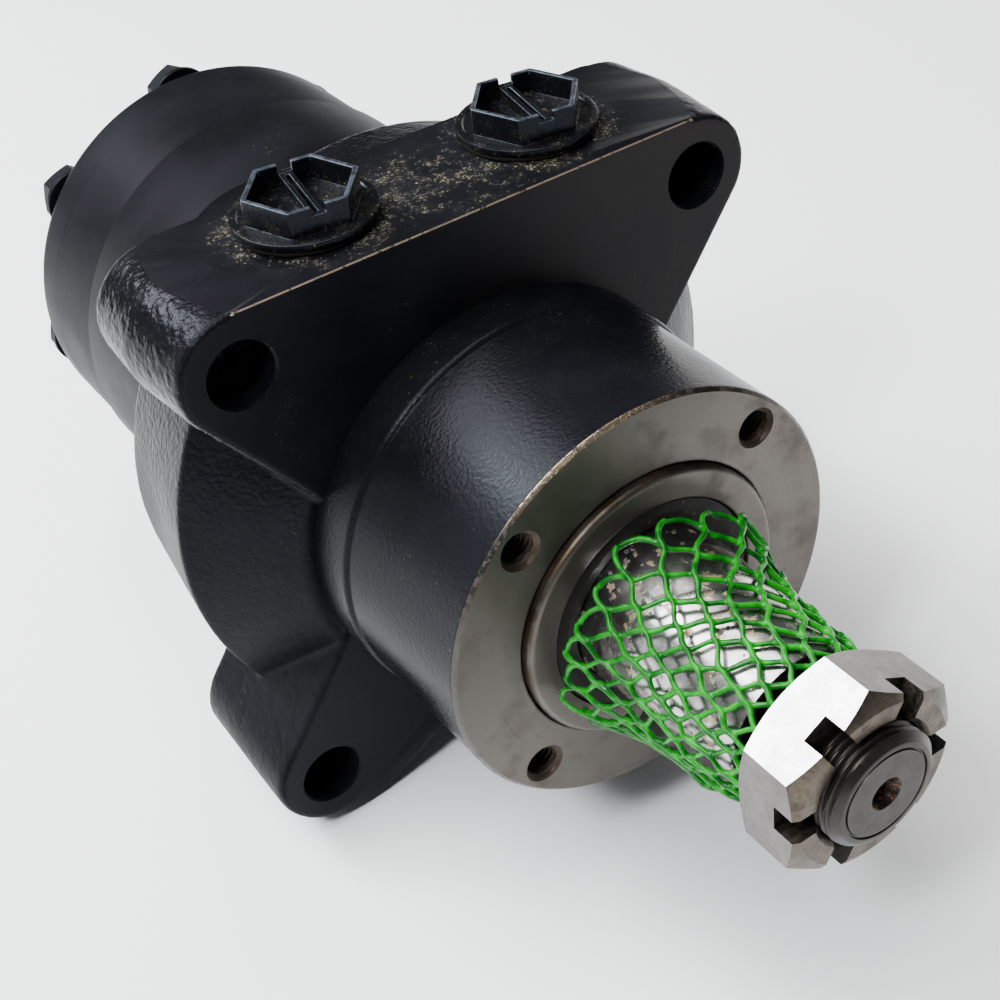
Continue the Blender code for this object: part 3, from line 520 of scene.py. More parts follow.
def plug_plastic():
    """Moulded black plastic: satin, dusty inside and low down, with grit in the corners."""
    s = Shader("plastic_plug", shine=0.15, tint=PLUG_TINT)
    low = s.step(s.along("Z"), 69.0, 72.5, 1.0, 0.15)
    dirt = s.times(s.step(s.noise(3.4, 5.0, 0.68), 0.48, 0.68), low)
    film = s.noise(1.1, 3.0)
    s.base(film, (0.0018, 0.0019, 0.0024), (0.0036, 0.0037, 0.0048))
    s.coat(s.times(dirt, 0.22), (0.024, 0.020, 0.014))
    grit = s.times(s.step(s.noise(0.45, 2.0, 0.5), 0.62, 0.67), dirt)
    s.coat(grit, (0.17, 0.13, 0.065))
    roughness = s.plus(s.step(film, 0.3, 0.7, 0.20, 0.32), s.times(dirt, 0.3))
    s.bump(film, 0.02)
    s.bump(grit, 0.1)
    return s.finish(roughness)


def plug_rim_highlight():
    """The plug's rim and rib, painted paler and bluish in patches as a highlight, and smoother."""
    s = Shader("plastic_plug_rim_highlight", shine=0.45, tint=PLUG_TINT)
    highlight_patches = s.noise(2.4, 4.0, 0.65)
    # painted highlight: colour runs from near black to a pale bluish grey in patches
    s.base(s.step(highlight_patches, 0.35, 0.65), (0.006, 0.007, 0.009), (0.042, 0.050, 0.064))
    s.bump(highlight_patches, 0.02)
    return s.finish(s.step(highlight_patches, 0.3, 0.7, 0.40, 0.26))


def net_plastic():
    """Glossy green extruded net."""
    s = Shader("plastic_net", shine=0.20)
    shade = s.noise(3.2, 3.0)
    lengthways = s.noise(0.8, 2.0, 0.5, s.stretched(1.0, 0.15, 1.0))
    s.base(s.step(shade, 0.35, 0.65), (0.0, 0.070, 0.003), (0.0, 0.215, 0.006))
    roughness = s.step(shade, 0.3, 0.7, 0.20, 0.32)
    s.bump(lengthways, 0.03)
    return s.finish(roughness)


def bronze():
    s = Shader("bronze_sintered", 1.0)
    pores = specks(s, 0.5, 0.4)
    s.base(s.noise(3.0, 3.0), (0.55, 0.35, 0.15), (0.42, 0.26, 0.11))
    s.coat(pores, (0.12, 0.07, 0.03))
    s.bump(pores, 0.02)
    return s.finish(0.42)


MATS = {
    "cast": black_paint("paint_cast", 0.03, 0.16, (0.22, 0.34), 0.048),
    "smooth": black_paint("paint_smooth", 0.075, 0.0, (0.20, 0.30), 0.070),
    "pack": black_paint("paint_rear", 0.014, 0.0, (0.42, 0.54), 0.060),
    "front": black_paint("paint_flange_face", 0.020, 0.0, (0.38, 0.50), 0.08, 0.02, painted_sheen=0.45),
    "top": top_paint(),
    "worn": worn_edge(),
    "face": turned_iron(),
    "edge": bright_edge(),
    "tapped": rusty_thread(),
    "bore": steel("iron_bored", (0.30, 0.28, 0.26), (0.20, 0.18, 0.17), (0.32, 0.45), depth=0.008),
    "shaft": steel("steel_shaft", (0.50, 0.49, 0.48), (0.26, 0.245, 0.232), (0.14, 0.28), stains=0.03),
    "ground": steel("steel_ground", (0.66, 0.65, 0.64), (0.52, 0.50, 0.48), (0.2, 0.32)),
    "dark": steel("steel_dark", (0.15, 0.14, 0.14), (0.08, 0.075, 0.07), (0.35, 0.5), turned=False),
    "nut": nut_steel("steel_nut", (0.135, 0.118, 0.116), (0.105, 0.090, 0.088), 0.25),
    # painted highlight: a far paler copy of the nut steel, given only to the flat that faces the key lamp;
    # the other faces keep the darker copy above
    "painted_highlight_flat": nut_steel("steel_nut_painted_highlight", (0.62, 0.61, 0.63), (0.52, 0.51, 0.53), 0.10),
    "chamfer": nut_steel("steel_nut_chamfer", (0.105, 0.086, 0.066), (0.056, 0.046, 0.037), 1.0),
    "slot": slot_dark(),
    "thread": thread_steel(),
    "rubber": rubber(),
    "plug": plug_plastic(),
    "plug_rim_highlight": plug_rim_highlight(),
    "net": net_plastic(),
    "bronze": bronze(),
}
SLOT_OF = {
    "machined_iron": "bore", "ground_steel": "ground", "zinc_steel": "nut", "dark_steel": "dark",
    "seal_rubber": "rubber", "plug_plastic": "plug", "net_plastic": "net", "bronze": "bronze",
    "black_paint": "pack",
}


# ---- mesh helpers ----
def polar(radius, degrees):
    angle = math.radians(degrees)
    return radius * math.cos(angle), radius * math.sin(angle)


def arc(centre, radius, start, end, steps):
    points = [polar(radius, start + (end - start) * i / steps) for i in range(steps + 1)]
    return [(centre[0] + x, centre[1] + z) for x, z in points]


def circle(radius, centre, sides):
    return [tuple(c + p for c, p in zip(centre, polar(radius, 360.0 * i / sides))) for i in range(sides)]


def hexagon(reach, centre, start):
    """Six corners at distance reach from centre, the first in the direction start."""
    return [tuple(c + p for c, p in zip(centre, polar(reach, start + 60.0 * k))) for k in range(6)]


def add_rings(bm, rings, close):
    """Join rings of points into a skin; it closes on itself, or ends in two flat caps."""
    made = [[bm.verts.new(Vector(p) * MM) for p in ring] for ring in rings]
    pairs = list(zip(made, made[1:]))
    if close:
        pairs.append((made[-1], made[0]))
    for a, b in pairs:
        for i in range(len(a)):
            bm.faces.new((a[i - 1], a[i], b[i], b[i - 1]))
    if not close:
        bm.faces.new(made[0])
        bm.faces.new(made[-1])


def raised(outline, at, axis):
    """The flat outline as points in space, at that place along the axis."""
    return [(u, at, v) if axis == "Y" else (u, v, at) for u, v in outline]


def add_turned(bm, profile, sides, centre=(0.0, 0.0), close=True, axis="Y"):
    add_rings(bm, [raised(circle(radius, centre, sides), at, axis) for at, radius in profile], close)


def add_prism(bm, outline, start, end, axis="Y"):
    add_rings(bm, [raised(outline, at, axis) for at in (start, end)], False)


def add_box(bm, low, high, turn=None):
    x0, y0, z0 = low
    x1, y1, z1 = high
    rings = [[(x0, y, z0), (x1, y, z0), (x1, y, z1), (x0, y, z1)] for y in (y0, y1)]
    if turn is not None:
        rings = [[tuple(turn @ Vector(p)) for p in ring] for ring in rings]
    add_rings(bm, rings, close=False)


def turned_about_shaft(degrees):
    return Matrix.Rotation(math.radians(-degrees), 4, "Y")


def rounded(profile, radius, steps=3):
    """A closed profile with every corner replaced by a small arc of about that radius."""
    out = []
    count = len(profile)
    for i, point in enumerate(profile):
        p = Vector(point)
        before, after = Vector(profile[i - 1]) - p, Vector(profile[(i + 1) % count]) - p
        cut = min(radius, before.length * 0.45, after.length * 0.45)
        a, b = p + before.normalized() * cut, p + after.normalized() * cut
        for k in range(steps + 1):
            t = k / steps
            q = a * (1 - t) ** 2 + p * 2 * t * (1 - t) + b * t ** 2
            out.append((q.x, q.y))
    return out


def to_object(name, bm):
    """Turn a finished bmesh into an object of the scene."""
    bmesh.ops.recalc_face_normals(bm, faces=bm.faces)
    mesh = bpy.data.meshes.new(name)
    bm.to_mesh(mesh)
    bm.free()
    obj = bpy.data.objects.new(name, mesh)
    PIECES.objects.link(obj)
    return obj


def solid(name, add, *shape, **options):
    """An object with the one solid that the function add makes."""
    bm = bmesh.new()
    add(bm, *shape, **options)
    return to_object(name, bm)


def apply(obj):
    """Replace the object's mesh by its evaluated one and drop its modifiers."""
    graph = bpy.context.evaluated_depsgraph_get()
    mesh = bpy.data.meshes.new_from_object(obj.evaluated_get(graph))
    obj.modifiers.clear()
    obj.data = mesh
    return obj


def boolean(obj, cutter, operation="DIFFERENCE"):
    """Apply one Boolean now and remove the cutter."""
    modifier = obj.modifiers.new("cut", "BOOLEAN")
    modifier.operation, modifier.solver, modifier.object = operation, "MANIFOLD", cutter
    apply(obj)
    bpy.data.objects.remove(cutter, do_unlink=True)
    return obj


def bevel(obj, width, angle=40.0, segments=2):
    modifier = obj.modifiers.new("bevel", "BEVEL")
    modifier.width, modifier.segments = width * MM, segments
    modifier.limit_method, modifier.angle_limit = "ANGLE", math.radians(angle)
    modifier.use_clamp_overlap = True
    return apply(obj)


def remesh(obj, voxel, smooth):
    modifier = obj.modifiers.new("voxels", "REMESH")
    modifier.mode, modifier.voxel_size = "VOXEL", voxel * MM
    modifier = obj.modifiers.new("smooth", "SMOOTH")
    modifier.factor, modifier.iterations = 0.5, smooth
    return apply(obj)


FLAT = 0.99999       # least cosine between an axis and the normal of a face machined square to it


def read(items, name):
    """A vector property of all vertices or faces, one row each."""
    values = np.zeros(len(items) * 3, np.float32)
    items.foreach_get(name, values)
    return values.reshape(-1, 3)


def finish_piece(obj, body, node, mats, crease=35.0, choose=None):
    """Shade, give materials, ride and replace. choose maps face centres and normals to a material index."""
    mesh = obj.data
    mesh.materials.clear()
    for key in mats:
        mesh.materials.append(MATS[key])
    centre, normal = read(mesh.polygons, "center") / MM, read(mesh.polygons, "normal")
    index = np.zeros(len(centre), np.int32) if choose is None else choose(centre, normal).astype(np.int32)
    mesh.polygons.foreach_set("material_index", index)
    on_port_face = (np.abs(normal[:, 2]) > FLAT) & (centre[:, 2] > TOP_Z - 0.1)
    machined = (np.abs(normal[:, 1]) > FLAT) | on_port_face
    mesh.polygons.foreach_set("use_smooth", ~machined)
    mesh.set_sharp_from_angle(angle=math.radians(crease))
    mesh.update()
    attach(obj, body)
    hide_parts(node)


# ---- housing ----
HOUSING_VOXEL = 0.62


def upper_outline(radius, top):
    """Front view of the two upper ears and the block between them, at one depth."""
    half = EAR_PITCH / 2
    dx, dz = EAR_SLOPE
    run = 45.0
    left = [(-half - dz * radius + dx * run, half - dx * radius - dz * run)]
    start = 180.0 + math.degrees(math.atan2(dx, dz))
    left += arc((-half, half), radius, start, 90.0, 24)
    left.append((-half + 6.0, top))
    return left + [(-x, z) for x, z in reversed(left)]


def lower_outline(radius, flare, shift):
    """Front view of a lower ear at one depth; flare from 0 to 1 widens its foot, shift moves it."""
    half = EAR_PITCH / 2
    dx, dz = EAR_SLOPE
    run = 42.0
    centre = (-half + shift[0], -half + shift[1])
    points = [(centre[0] - dz * radius + dx * run, centre[1] + dx * radius + dz * run)]
    start = 180.0 - math.degrees(math.atan2(dx, dz))
    points += arc(centre, radius, start, start + 42.0, 8)
    lower = (centre[0] + FLARE_SHIFT[0] * flare, centre[1] + FLARE_SHIFT[1] * flare)
    end = 360.0 - math.degrees(math.atan2(dz, dx)) - FLARE_TURN * flare
    points += arc(lower, radius + FLARE_GROWTH * flare, 205.0, end, 20)
    x, z = polar(run, end + 90.0)
    return points + [(points[-1][0] + x, points[-1][1] + z)]


def rough_casting():
    """Everything cast, merged by voxels, filleted by smoothing and given its grain."""
    upper = ((0.0, EAR_R - 0.7), (0.3, EAR_R - 0.25), (1.2, EAR_R), (PARTING_Y, EAR_R_PARTING),
             (EAR_DEPTH - 1.2, EAR_R + 0.3), (EAR_DEPTH, EAR_R - 0.9))
    lower = ((0.0, EAR_R - 0.6, 0.0, (0.4, 0.8)), (0.3, EAR_R - 0.3, 0.1, (0.25, 0.5)),
             (1.6, EAR_R - 0.1, 1.0, (0.0, 0.0)), (PARTING_Y, EAR_R + 1.0, 1.0, (1.5, 0.45)),
             (EAR_DEPTH - 0.5, EAR_R + 2.1, 0.7, (3.0, 0.9)), (EAR_DEPTH, EAR_R + 1.6, 0.6, (3.0, 0.9)))
    bm = bmesh.new()
    add_rings(bm, [raised(upper_outline(r, TOP_Z + 3.5), y, "Y") for y, r in upper], False)
    for side in (1.0, -1.0):
        add_rings(bm, [[(side * x, y, z) for x, z in lower_outline(*rest)] for y, *rest in lower], False)
    barrel = [(1.4, PILOT_R + 2.4), (PARTING_Y, BARREL_R), (BARREL_REAR_Y - 0.8, BARREL_REAR_R),
              (BARREL_REAR_Y, BARREL_REAR_R - 0.8), (BARREL_REAR_Y, REAR_BODY_R + 3.0),
              (BARREL_REAR_Y + 3.0, REAR_BODY_R - 0.1), (BARREL_REAR_Y + 8.0, REAR_BODY_R - 0.3)]
    add_turned(bm, barrel, 192, close=False)
    back = arc((-PORT_X, PORT_Y), PORT_BOSS_R, 0.0, 180.0, 40)
    back += [(-PORT_X - PORT_BOSS_R, 6.0), (-PORT_X + PORT_BOSS_R, 6.0)]
    add_prism(bm, back, 20.0, TOP_Z + 3.0, axis="Z")
    obj = remesh(to_object("motor_housing", bm), HOUSING_VOXEL, 6)
    mesh = obj.data
    co, no = read(mesh.vertices, "co"), read(mesh.vertices, "normal")
    y, reach = co[:, 1] / MM, np.hypot(co[:, 0], co[:, 2]) / MM
    grain = np.array([noise.noise(Vector(p) * 620.0) + 0.7 * noise.noise(Vector(p) * 330.0)
                      + 0.7 * noise.noise(Vector(p) * 110.0) for p in co.tolist()])
    ears = np.clip((reach - 66.0) / 5.0, 0.0, 1.0) * np.where(co[:, 2] > 0.0, 1.0, 0.35)
    machined = np.clip(1.0 - (y - 0.5) / 1.0, 0.0, 1.0) * (no[:, 1] < -0.6)
    rear = np.clip((y - BARREL_REAR_Y) / 3.0, 0.0, 1.0)
    depth = (0.035 + 0.075 * ears) * (1.0 - machined) * (1.0 - rear)
    co += no * (grain * depth * MM - 0.06 * MM * (1 - machined))[:, None].astype(np.float32)
    co[:, 1] = np.maximum(co[:, 1], 0.0)
    mesh.vertices.foreach_set("co", co.ravel())
    mesh.update()
    return obj


def threaded_rings(rows, pitch, sides, wave, centre=(0.0, 0.0)):
    """Rings for rows of (y, radius, thread depth); wave maps a turn's share to -1..1 of the depth."""
    rings = []
    for y, radius, cut in rows:
        ring = []
        for i in range(sides):
            reach = radius + cut * wave((y / pitch + i / sides) % 1.0)
            u, v = polar(reach, 360.0 * i / sides)
            ring.append((centre[0] + u, y, centre[1] + v))
        rings.append(ring)
    return rings


def threaded_cutter(centre, depth):
    """A tapped hole: countersink, thread, drill point."""
    rows = [(NOSE_Y - 1.0, 5.3, 0.0), (NOSE_Y + 0.5, 3.9, 0.0)]
    at = NOSE_Y + 0.7
    while at < NOSE_Y + depth:
        rows.append((at, TAPPED_R, 0.38))
        at += 0.16
    rows += [(NOSE_Y + depth + 0.3, 3.35, 0.0), (NOSE_Y + depth + 2.0, 0.4, 0.0)]
    rings = threaded_rings(rows, TAPPED_PITCH, 48, lambda turn: abs(turn * 2 - 1) * 2 - 1, centre)
    return solid("thread_cutter", add_rings, rings, False)


def bolt_directions():
    """Directions of the seven cover bolts, seen from the shaft end."""
    return [BOLT_PHASE + STEP * k for k in range(ROLLERS)]


def tapped_holes():
    """Centres of the four tapped holes in the nose."""
    at = TAPPED_CIRCLE_R * math.sqrt(0.5)
    return [(sx * at, sz * at) for sx in (-1.0, 1.0) for sz in (-1.0, 1.0)]


def make_housing():
    obj = rough_casting()
    boolean(obj, solid("top_cutter", add_box, (-90.0, -1.0, TOP_Z), (90.0, 120.0, TOP_Z + 20.0)))
    rings = [[(x, -0.3, TOP_Z + 0.06), (x, -0.3, TOP_Z + 0.5), (x, 0.5, TOP_Z + 0.5), (x, 0.3, TOP_Z + 0.06),
              (x, -0.06, TOP_Z - 0.3)] for x in (-70.0, 70.0)]
    boolean(obj, solid("edge_cutter", add_rings, rings, False))
    nose = [(NOSE_Y, 20.0), (NOSE_Y, NOSE_R - 0.75), (NOSE_Y + 0.12, NOSE_R - 0.62),
            (NOSE_Y + 0.62, NOSE_R - 0.12), (NOSE_Y + 0.8, NOSE_R - 0.02), (NOSE_Y + 1.2, NOSE_R),
            (PILOT_Y - 0.45, NOSE_R), (PILOT_Y - 0.3, NOSE_R + 0.05), (PILOT_Y, NOSE_R + 0.48),
            (PILOT_Y + 0.4, PILOT_R - 0.20), (PILOT_Y + 0.75, PILOT_R - 0.05), (PILOT_Y + 1.1, PILOT_R),
            (1.0, PILOT_R), (6.0, PILOT_R), (8.0, 40.0)]
    boolean(obj, solid("nose", add_turned, nose, 240, close=False), "UNION")
    rear = [(BARREL_REAR_Y - 4.0, 46.0), (BARREL_REAR_Y + 3.4, REAR_BODY_R - 0.06),
            (BARREL_REAR_Y + 4.2, REAR_BODY_R), (HOUSING_END_Y - 1.1, REAR_BODY_R),
            (HOUSING_END_Y - 0.8, REAR_BODY_R - 0.12), (HOUSING_END_Y - 0.1, REAR_BODY_R - 0.8),
            (HOUSING_END_Y, REAR_BODY_R - 1.0), (HOUSING_END_Y, 20.0)]
    boolean(obj, solid("rear", add_turned, rear, 240, close=False), "UNION")
    bore = [(NOSE_Y - 1.0, BEARING_BORE_R + 1.35), (NOSE_Y + 0.35, BEARING_BORE_R + 0.35),
            (-36.0, BEARING_BORE_R + 0.35), (-35.6, BEARING_BORE_R), (SHOULDER_Y, BEARING_BORE_R),
            (SHOULDER_Y, SPOOL_BORE_R), (HOUSING_END_Y + 1.0, SPOOL_BORE_R)]
    boolean(obj, solid("bore", add_turned, bore, 180, close=False))
    bm = bmesh.new()
    for sx in (-1.0, 1.0):
        for sz in (-1.0, 1.0):
            centre = (sx * EAR_PITCH / 2, sz * EAR_PITCH / 2)
            hole = [(-1.0, EAR_HOLE_R + 1.5), (0.5, EAR_HOLE_R), (EAR_DEPTH - 0.4, EAR_HOLE_R),
                    (EAR_DEPTH + 1.0, EAR_HOLE_R + 1.4)]
            add_turned(bm, hole, 96, centre, close=False)
        port = [(TOP_Z - PORT_DEPTH, PORT_BORE_R), (TOP_Z - 1.0, PORT_BORE_R),
                (TOP_Z + 1.0, PORT_BORE_R + 2.0)]
        add_turned(bm, port, 64, (sx * PORT_X, PORT_Y), close=False, axis="Z")
    for direction in bolt_directions():
        hole = circle(BOLT_HOLE_R, polar(BOLT_CIRCLE_R, direction), 24)
        add_prism(bm, hole, HOUSING_END_Y - BOLT_REACH, HOUSING_END_Y + 1.0)
    boolean(obj, to_object("holes", bm))
    for centre in tapped_holes():
        boolean(obj, threaded_cutter(centre, TAPPED_DEPTH))

    def choose(c, n):
        """Materials by place and facing: see the order of mats below."""
        x, y, z = c.T
        reach = np.hypot(x, z)
        index = np.zeros(len(c), int)
        index[(reach < PILOT_R + 0.6) & (y < 2.0)] = 1
        index[(y > BARREL_REAR_Y + 3.2) | ((y > BARREL_REAR_Y - 0.3) & (n[:, 1] > 0.9) & (z < 0))] = 2
        index[(y < 0.05) & (n[:, 1] < -0.95) & (reach > PILOT_R - 0.2)] = 3
        index[(z > TOP_Z - 0.05) & (n[:, 2] > 0.95)] = 4
        index[(np.abs(y) < 0.5) & (z > TOP_Z - 0.5) & (n[:, 2] > 0.4) & (n[:, 2] < 0.9)] = 5
        index[(y < NOSE_Y + 0.05) & (n[:, 1] < -0.9)] = 6
        index[(y < NOSE_Y + 0.9) & (n[:, 1] >= -0.9) & (reach > 43.0)] = 7
        at = TAPPED_CIRCLE_R * math.sqrt(0.5)
        near_hole = np.hypot(np.abs(x) - at, np.abs(z) - at) < 5.0
        index[near_hole & (y > NOSE_Y + 0.001) & (y < -25.0)] = 8
        index[(reach < BEARING_BORE_R + 1.5) & (n[:, 1] > -0.9) & (y < HOUSING_END_Y - 0.1)] = 9
        index[(reach < BEARING_BORE_R + 0.4) & (y > NOSE_Y + 0.1)] = 9
        return index

    mats = ["cast", "smooth", "pack", "front", "top", "worn", "face", "edge", "tapped", "bore"]
    finish_piece(obj, "body", "housing", mats, 42.0, choose)


# ---- nose: carrier and dust seal ----
def make_ring(name, profile, node, mat, sides, centre=(0.0, 0.0), axis="Y", fillet=0.25, crease=60.0):
    """A turned ring with rounded edges, as one finished piece of the motor's body."""
    ring = solid(name, add_turned, rounded(profile, fillet), sides, centre, axis=axis)
    finish_piece(ring, "body", node, [mat], crease)


def make_nose_rings():
    carrier = [(-49.85, 23.5), (-49.85, 28.75), (-49.55, 29.35), (-48.9, 29.75), (-36.3, 29.75),
               (-36.3, 25.5), (-44.0, 25.5), (-44.0, 19.0), (-46.0, 19.0), (-46.0, 23.5)]
    make_ring("seal_carrier_ring", carrier, "seal_carrier", "face", 180,
              fillet=0.3, crease=50.0)
    dust = [(-49.3, 20.6), (-49.3, 23.2), (-46.3, 23.2), (-46.3, 19.0), (-47.4, 17.8), (-48.6, 17.8)]
    make_ring("dust_seal_lip", dust, "dust_seal", "rubber", 128, crease=50.0)


# ---- shaft, nut and key ----
def socket_outline(phase):
    """The splined socket in the shaft that the drive link's teeth fill, with their play."""
    points = []
    pitch = 360.0 / SPLINE_TEETH
    root, tip = SPLINE_ROOT_R + SPLINE_PLAY, SPLINE_TIP_R + SPLINE_PLAY
    play = math.degrees(SPLINE_PLAY / SPLINE_TIP_R) / pitch
    corners = ((-0.34 - play, root), (-0.18 - play, tip), (0.18 + play, tip), (0.34 + play, root))
    for tooth in range(SPLINE_TEETH):
        for share, radius in corners:
            points.append(polar(radius, phase + pitch * (tooth + share)))
    return points


def shaft_rows():
    """(y, radius, thread depth) from the centre drilling round the outside to the hollow rear."""
    end = SHAFT_END_Y
    rows = [(end + 6.0, 0.9, 0), (end + 3.4, 1.6, 0), (end + 0.25, 3.2, 0), (end, 3.45, 0),
            (end, 8.9, 0), (end + 0.35, 9.05, 0), (end + 0.35, 9.35, 0), (end, 9.5, 0),
            (end, 10.35, 0), (end + 0.15, 10.6, 0), (end + 1.2, THREAD_R - 0.3, 0)]
    y = end + 1.4
    pitch_step = 0.125
    while y < NUT_Y[1] + 0.3:
        rows.append((y, THREAD_R - 0.42, 0.40))
        y += pitch_step
    rows += [
        (NUT_Y[1] + 0.9, THREAD_R - 1.0, 0), (TAPER_SMALL_Y - 0.5, THREAD_R - 1.0, 0),
        (TAPER_SMALL_Y, THREAD_R - 0.5, 0), (TAPER_SMALL_Y, TAPER_SMALL_R - 0.6, 0),
        (TAPER_SMALL_Y + 0.2, TAPER_SMALL_R - 0.15, 0),
        (TAPER_SMALL_Y + 0.7, TAPER_SMALL_R, 0), (TAPER_BIG_Y, SEAL_LAND_R, 0), (-36.2, SEAL_LAND_R, 0),
        (-35.4, JOURNAL_R, 0), (COLLAR_Y[0], JOURNAL_R, 0), (COLLAR_Y[0], COLLAR_R - 0.3, 0),
        (COLLAR_Y[0] + 0.3, COLLAR_R, 0), (COLLAR_Y[1] - 0.3, COLLAR_R, 0), (COLLAR_Y[1], COLLAR_R - 0.3, 0),
        (COLLAR_Y[1], SPOOL_R, 0)]
    for start, stop in SPOOL_GROOVES:
        rows += [(start, SPOOL_R, 0), (start, SPOOL_R - 3.0, 0), (stop, SPOOL_R - 3.0, 0), (stop, SPOOL_R, 0)]
    return rows + [
        (SPOOL_END_Y - 0.4, SPOOL_R, 0), (SPOOL_END_Y, SPOOL_R - 0.4, 0), (SPOOL_END_Y, 16.5, 0),
        (SHAFT_SPLINE_Y + 9.0, 16.5, 0), (SHAFT_SPLINE_Y + 7.0, 9.0, 0), (SHAFT_SPLINE_Y - 10.0, 9.0, 0)]


def make_shaft():
    rings = threaded_rings(shaft_rows(), THREAD_PITCH, 120,
                           lambda turn: max(-1.0, min(1.0, abs(turn * 2 - 1) * 3.0 - 1.5)))
    shaft = solid("motor_shaft", add_rings, rings, False)
    boolean(shaft, solid("spline_cutter", add_prism, socket_outline(GEAR_PHASE),
                         SHAFT_SPLINE_Y - 9.0, SHAFT_SPLINE_Y + 12.0))
    bm = bmesh.new()
    for k in range(SPOOL_SLOTS):
        turn = turned_about_shaft(360.0 * (k + 0.5) / SPOOL_SLOTS)
        add_box(bm, (SPOOL_R - 2.5, SPOOL_SLOT_Y[0], -2.0), (SPOOL_R + 1.0, SPOOL_SLOT_Y[1], 2.0), turn)
    half = KEY_WIDTH / 2 + 0.3
    turn = turned_about_shaft(KEY_TURN)
    add_box(bm, (KEY_R[0], KEY_Y[0] - 0.3, -half), (KEY_R[1], KEY_Y[1] + 0.3, half), turn)
    boolean(shaft, to_object("slot_cutter", bm))

    def choose(c, n):
        return np.where(c[:, 1] < TAPER_SMALL_Y + 0.1, 1, 0)

    finish_piece(shaft, "shaft", "output_shaft", ["shaft", "thread"], 40.0, choose)
    half = KEY_WIDTH / 2
    low, high = (KEY_R[0] + 0.3, KEY_Y[0], -half), (KEY_R[1], KEY_Y[1], half)
    key = bevel(solid("motor_shaft_key", add_box, low, high, turn), 0.35)
    finish_piece(key, "shaft", "shaft_key", ["dark"])


def make_nut():
    corner = NUT_FLATS / 2 / COS_30
    flat = NUT_FLATS / 2
    front, back = NUT_Y
    rise = (corner - flat + 1.0) * math.tan(math.radians(30.0))
    blank = [
        (front + 1.2, THREAD_R + 0.3), (front + 0.15, THREAD_R + 1.3), (front, THREAD_R + 1.5),
        (front, flat - 1.1), (front + 0.08, flat - 0.9), (front + rise, corner), (back - rise, corner),
        (back - 0.08, flat - 0.9), (back, flat - 1.1), (back, THREAD_R + 0.9), (back - 0.6, THREAD_R + 0.3)]
    nut = solid("motor_slotted_nut", add_turned, blank, 192)
    corners = hexagon(corner, (0.0, 0.0), NUT_CORNER)
    boolean(nut, solid("nut_hexagon", add_prism, corners, front - 2.0, back + 2.0), "INTERSECT")
    width, depth = NUT_SLOT
    slot_directions = [NUT_CORNER - 30.0 + 60.0 * k for k in range(3)]
    for direction in slot_directions:
        low, high = (-corner - 2.0, front - 2.0, -width / 2), (corner + 2.0, front + depth, width / 2)
        boolean(nut, solid("nut_slot", add_box, low, high, turned_about_shaft(direction)))

    def choose(c, n):
        x, y, z = c.T
        reach = np.hypot(x, z)
        index = np.where(reach < THREAD_R + 0.7, 1, 0)
        index[(n[:, 1] < -0.2) & (reach >= THREAD_R + 0.7)] = 2
        # the flat facing up and left takes the painted highlight copy of the steel
        painted_highlight_flat = math.radians(NUT_CORNER + 30.0)
        index[(n[:, 0] * math.cos(painted_highlight_flat) + n[:, 2] * math.sin(painted_highlight_flat) > 0.98) & (reach > flat - 0.5)] = 3
        for direction in slot_directions:
            angle = math.radians(direction)
            across = -x * math.sin(angle) + z * math.cos(angle)
            in_slot = (np.abs(across) < width / 2 + 0.05) & (y < front + depth + 0.1)
            index[in_slot & (reach < flat - 0.02) & (y > front + 0.05)] = 1
        return index

    mats = ["nut", "slot", "chamfer", "painted_highlight_flat"]
    finish_piece(nut, "shaft", "slotted_nut", mats, 15.0, choose)


# ---- net sleeve ----
NET_RIM = (      # directions of the loops round the net's flared end
    9.5, 37.0, 62.0, 88.0, 112.0, 131.5, 149.0, 165.0, 180.0, 194.0, 208.0,
    221.0, 234.0, 247.0, 260.0, 274.0, 289.0, 305.0, 322.0, 338.0, 354.0)
NET_STATIONS = (      # y, radius of the net's middle surface, sag of its centre towards the key
    (-94.6, 15.9, 0.2), (-92.5, 16.3, 0.3), (-90.0, 16.9, 0.5), (-88.0, 17.1, 0.7),
    (-82.0, 17.7, 1.0), (-77.0, 18.2, 1.1), (-69.0, 19.1, 1.0), (-63.0, 21.0, 0.8),
    (-58.0, 22.8, 0.9), (-54.5, 23.9, 1.0), (-50.0, 24.3, 1.0))
NET_Y = (-94.7, -53.3)
NET_ROWS = 10
STRAND_R = 0.58
NET_VOXEL = 0.21
STRAND_OFFSET = 0.26            # each family of strands lies this far out or in of the middle surface


def net_nodes():
    """(y, direction, lift) of each crossing, in slightly uneven rows from the flared rim to the nut."""
    rng = random.Random(11)
    cells = len(NET_RIM)
    front, rear = NET_Y
    nodes = {}
    for row in range(NET_ROWS + 1):
        share = row / NET_ROWS
        for k in range(cells):
            after = NET_RIM[(k + 1) % cells] + (360.0 if k == cells - 1 else 0.0)
            rim = NET_RIM[k] if row % 2 == 0 else (NET_RIM[k] + after) / 2
            even = 360.0 * (k + 0.5 * (row % 2)) / cells + 12.0
            loose = 1.0 if row < NET_ROWS else 0.1
            y = rear + (front - rear) * share ** 0.95 + rng.uniform(-0.8, 0.8) * loose
            angle = even + (rim - even) * (1 - 0.75 * share) + rng.uniform(-2.8, 2.8) * min(1.0, share * 3)
            if row == 0:
                y += rng.uniform(-1.6, 0.4)
            lift = rng.uniform(-0.15, 0.6) * (1 - 0.75 * share)
            if row < 2:
                lift += 0.6 * math.sin(k * 2.3)
            nodes[row, k] = (y, angle, lift)
    return nodes


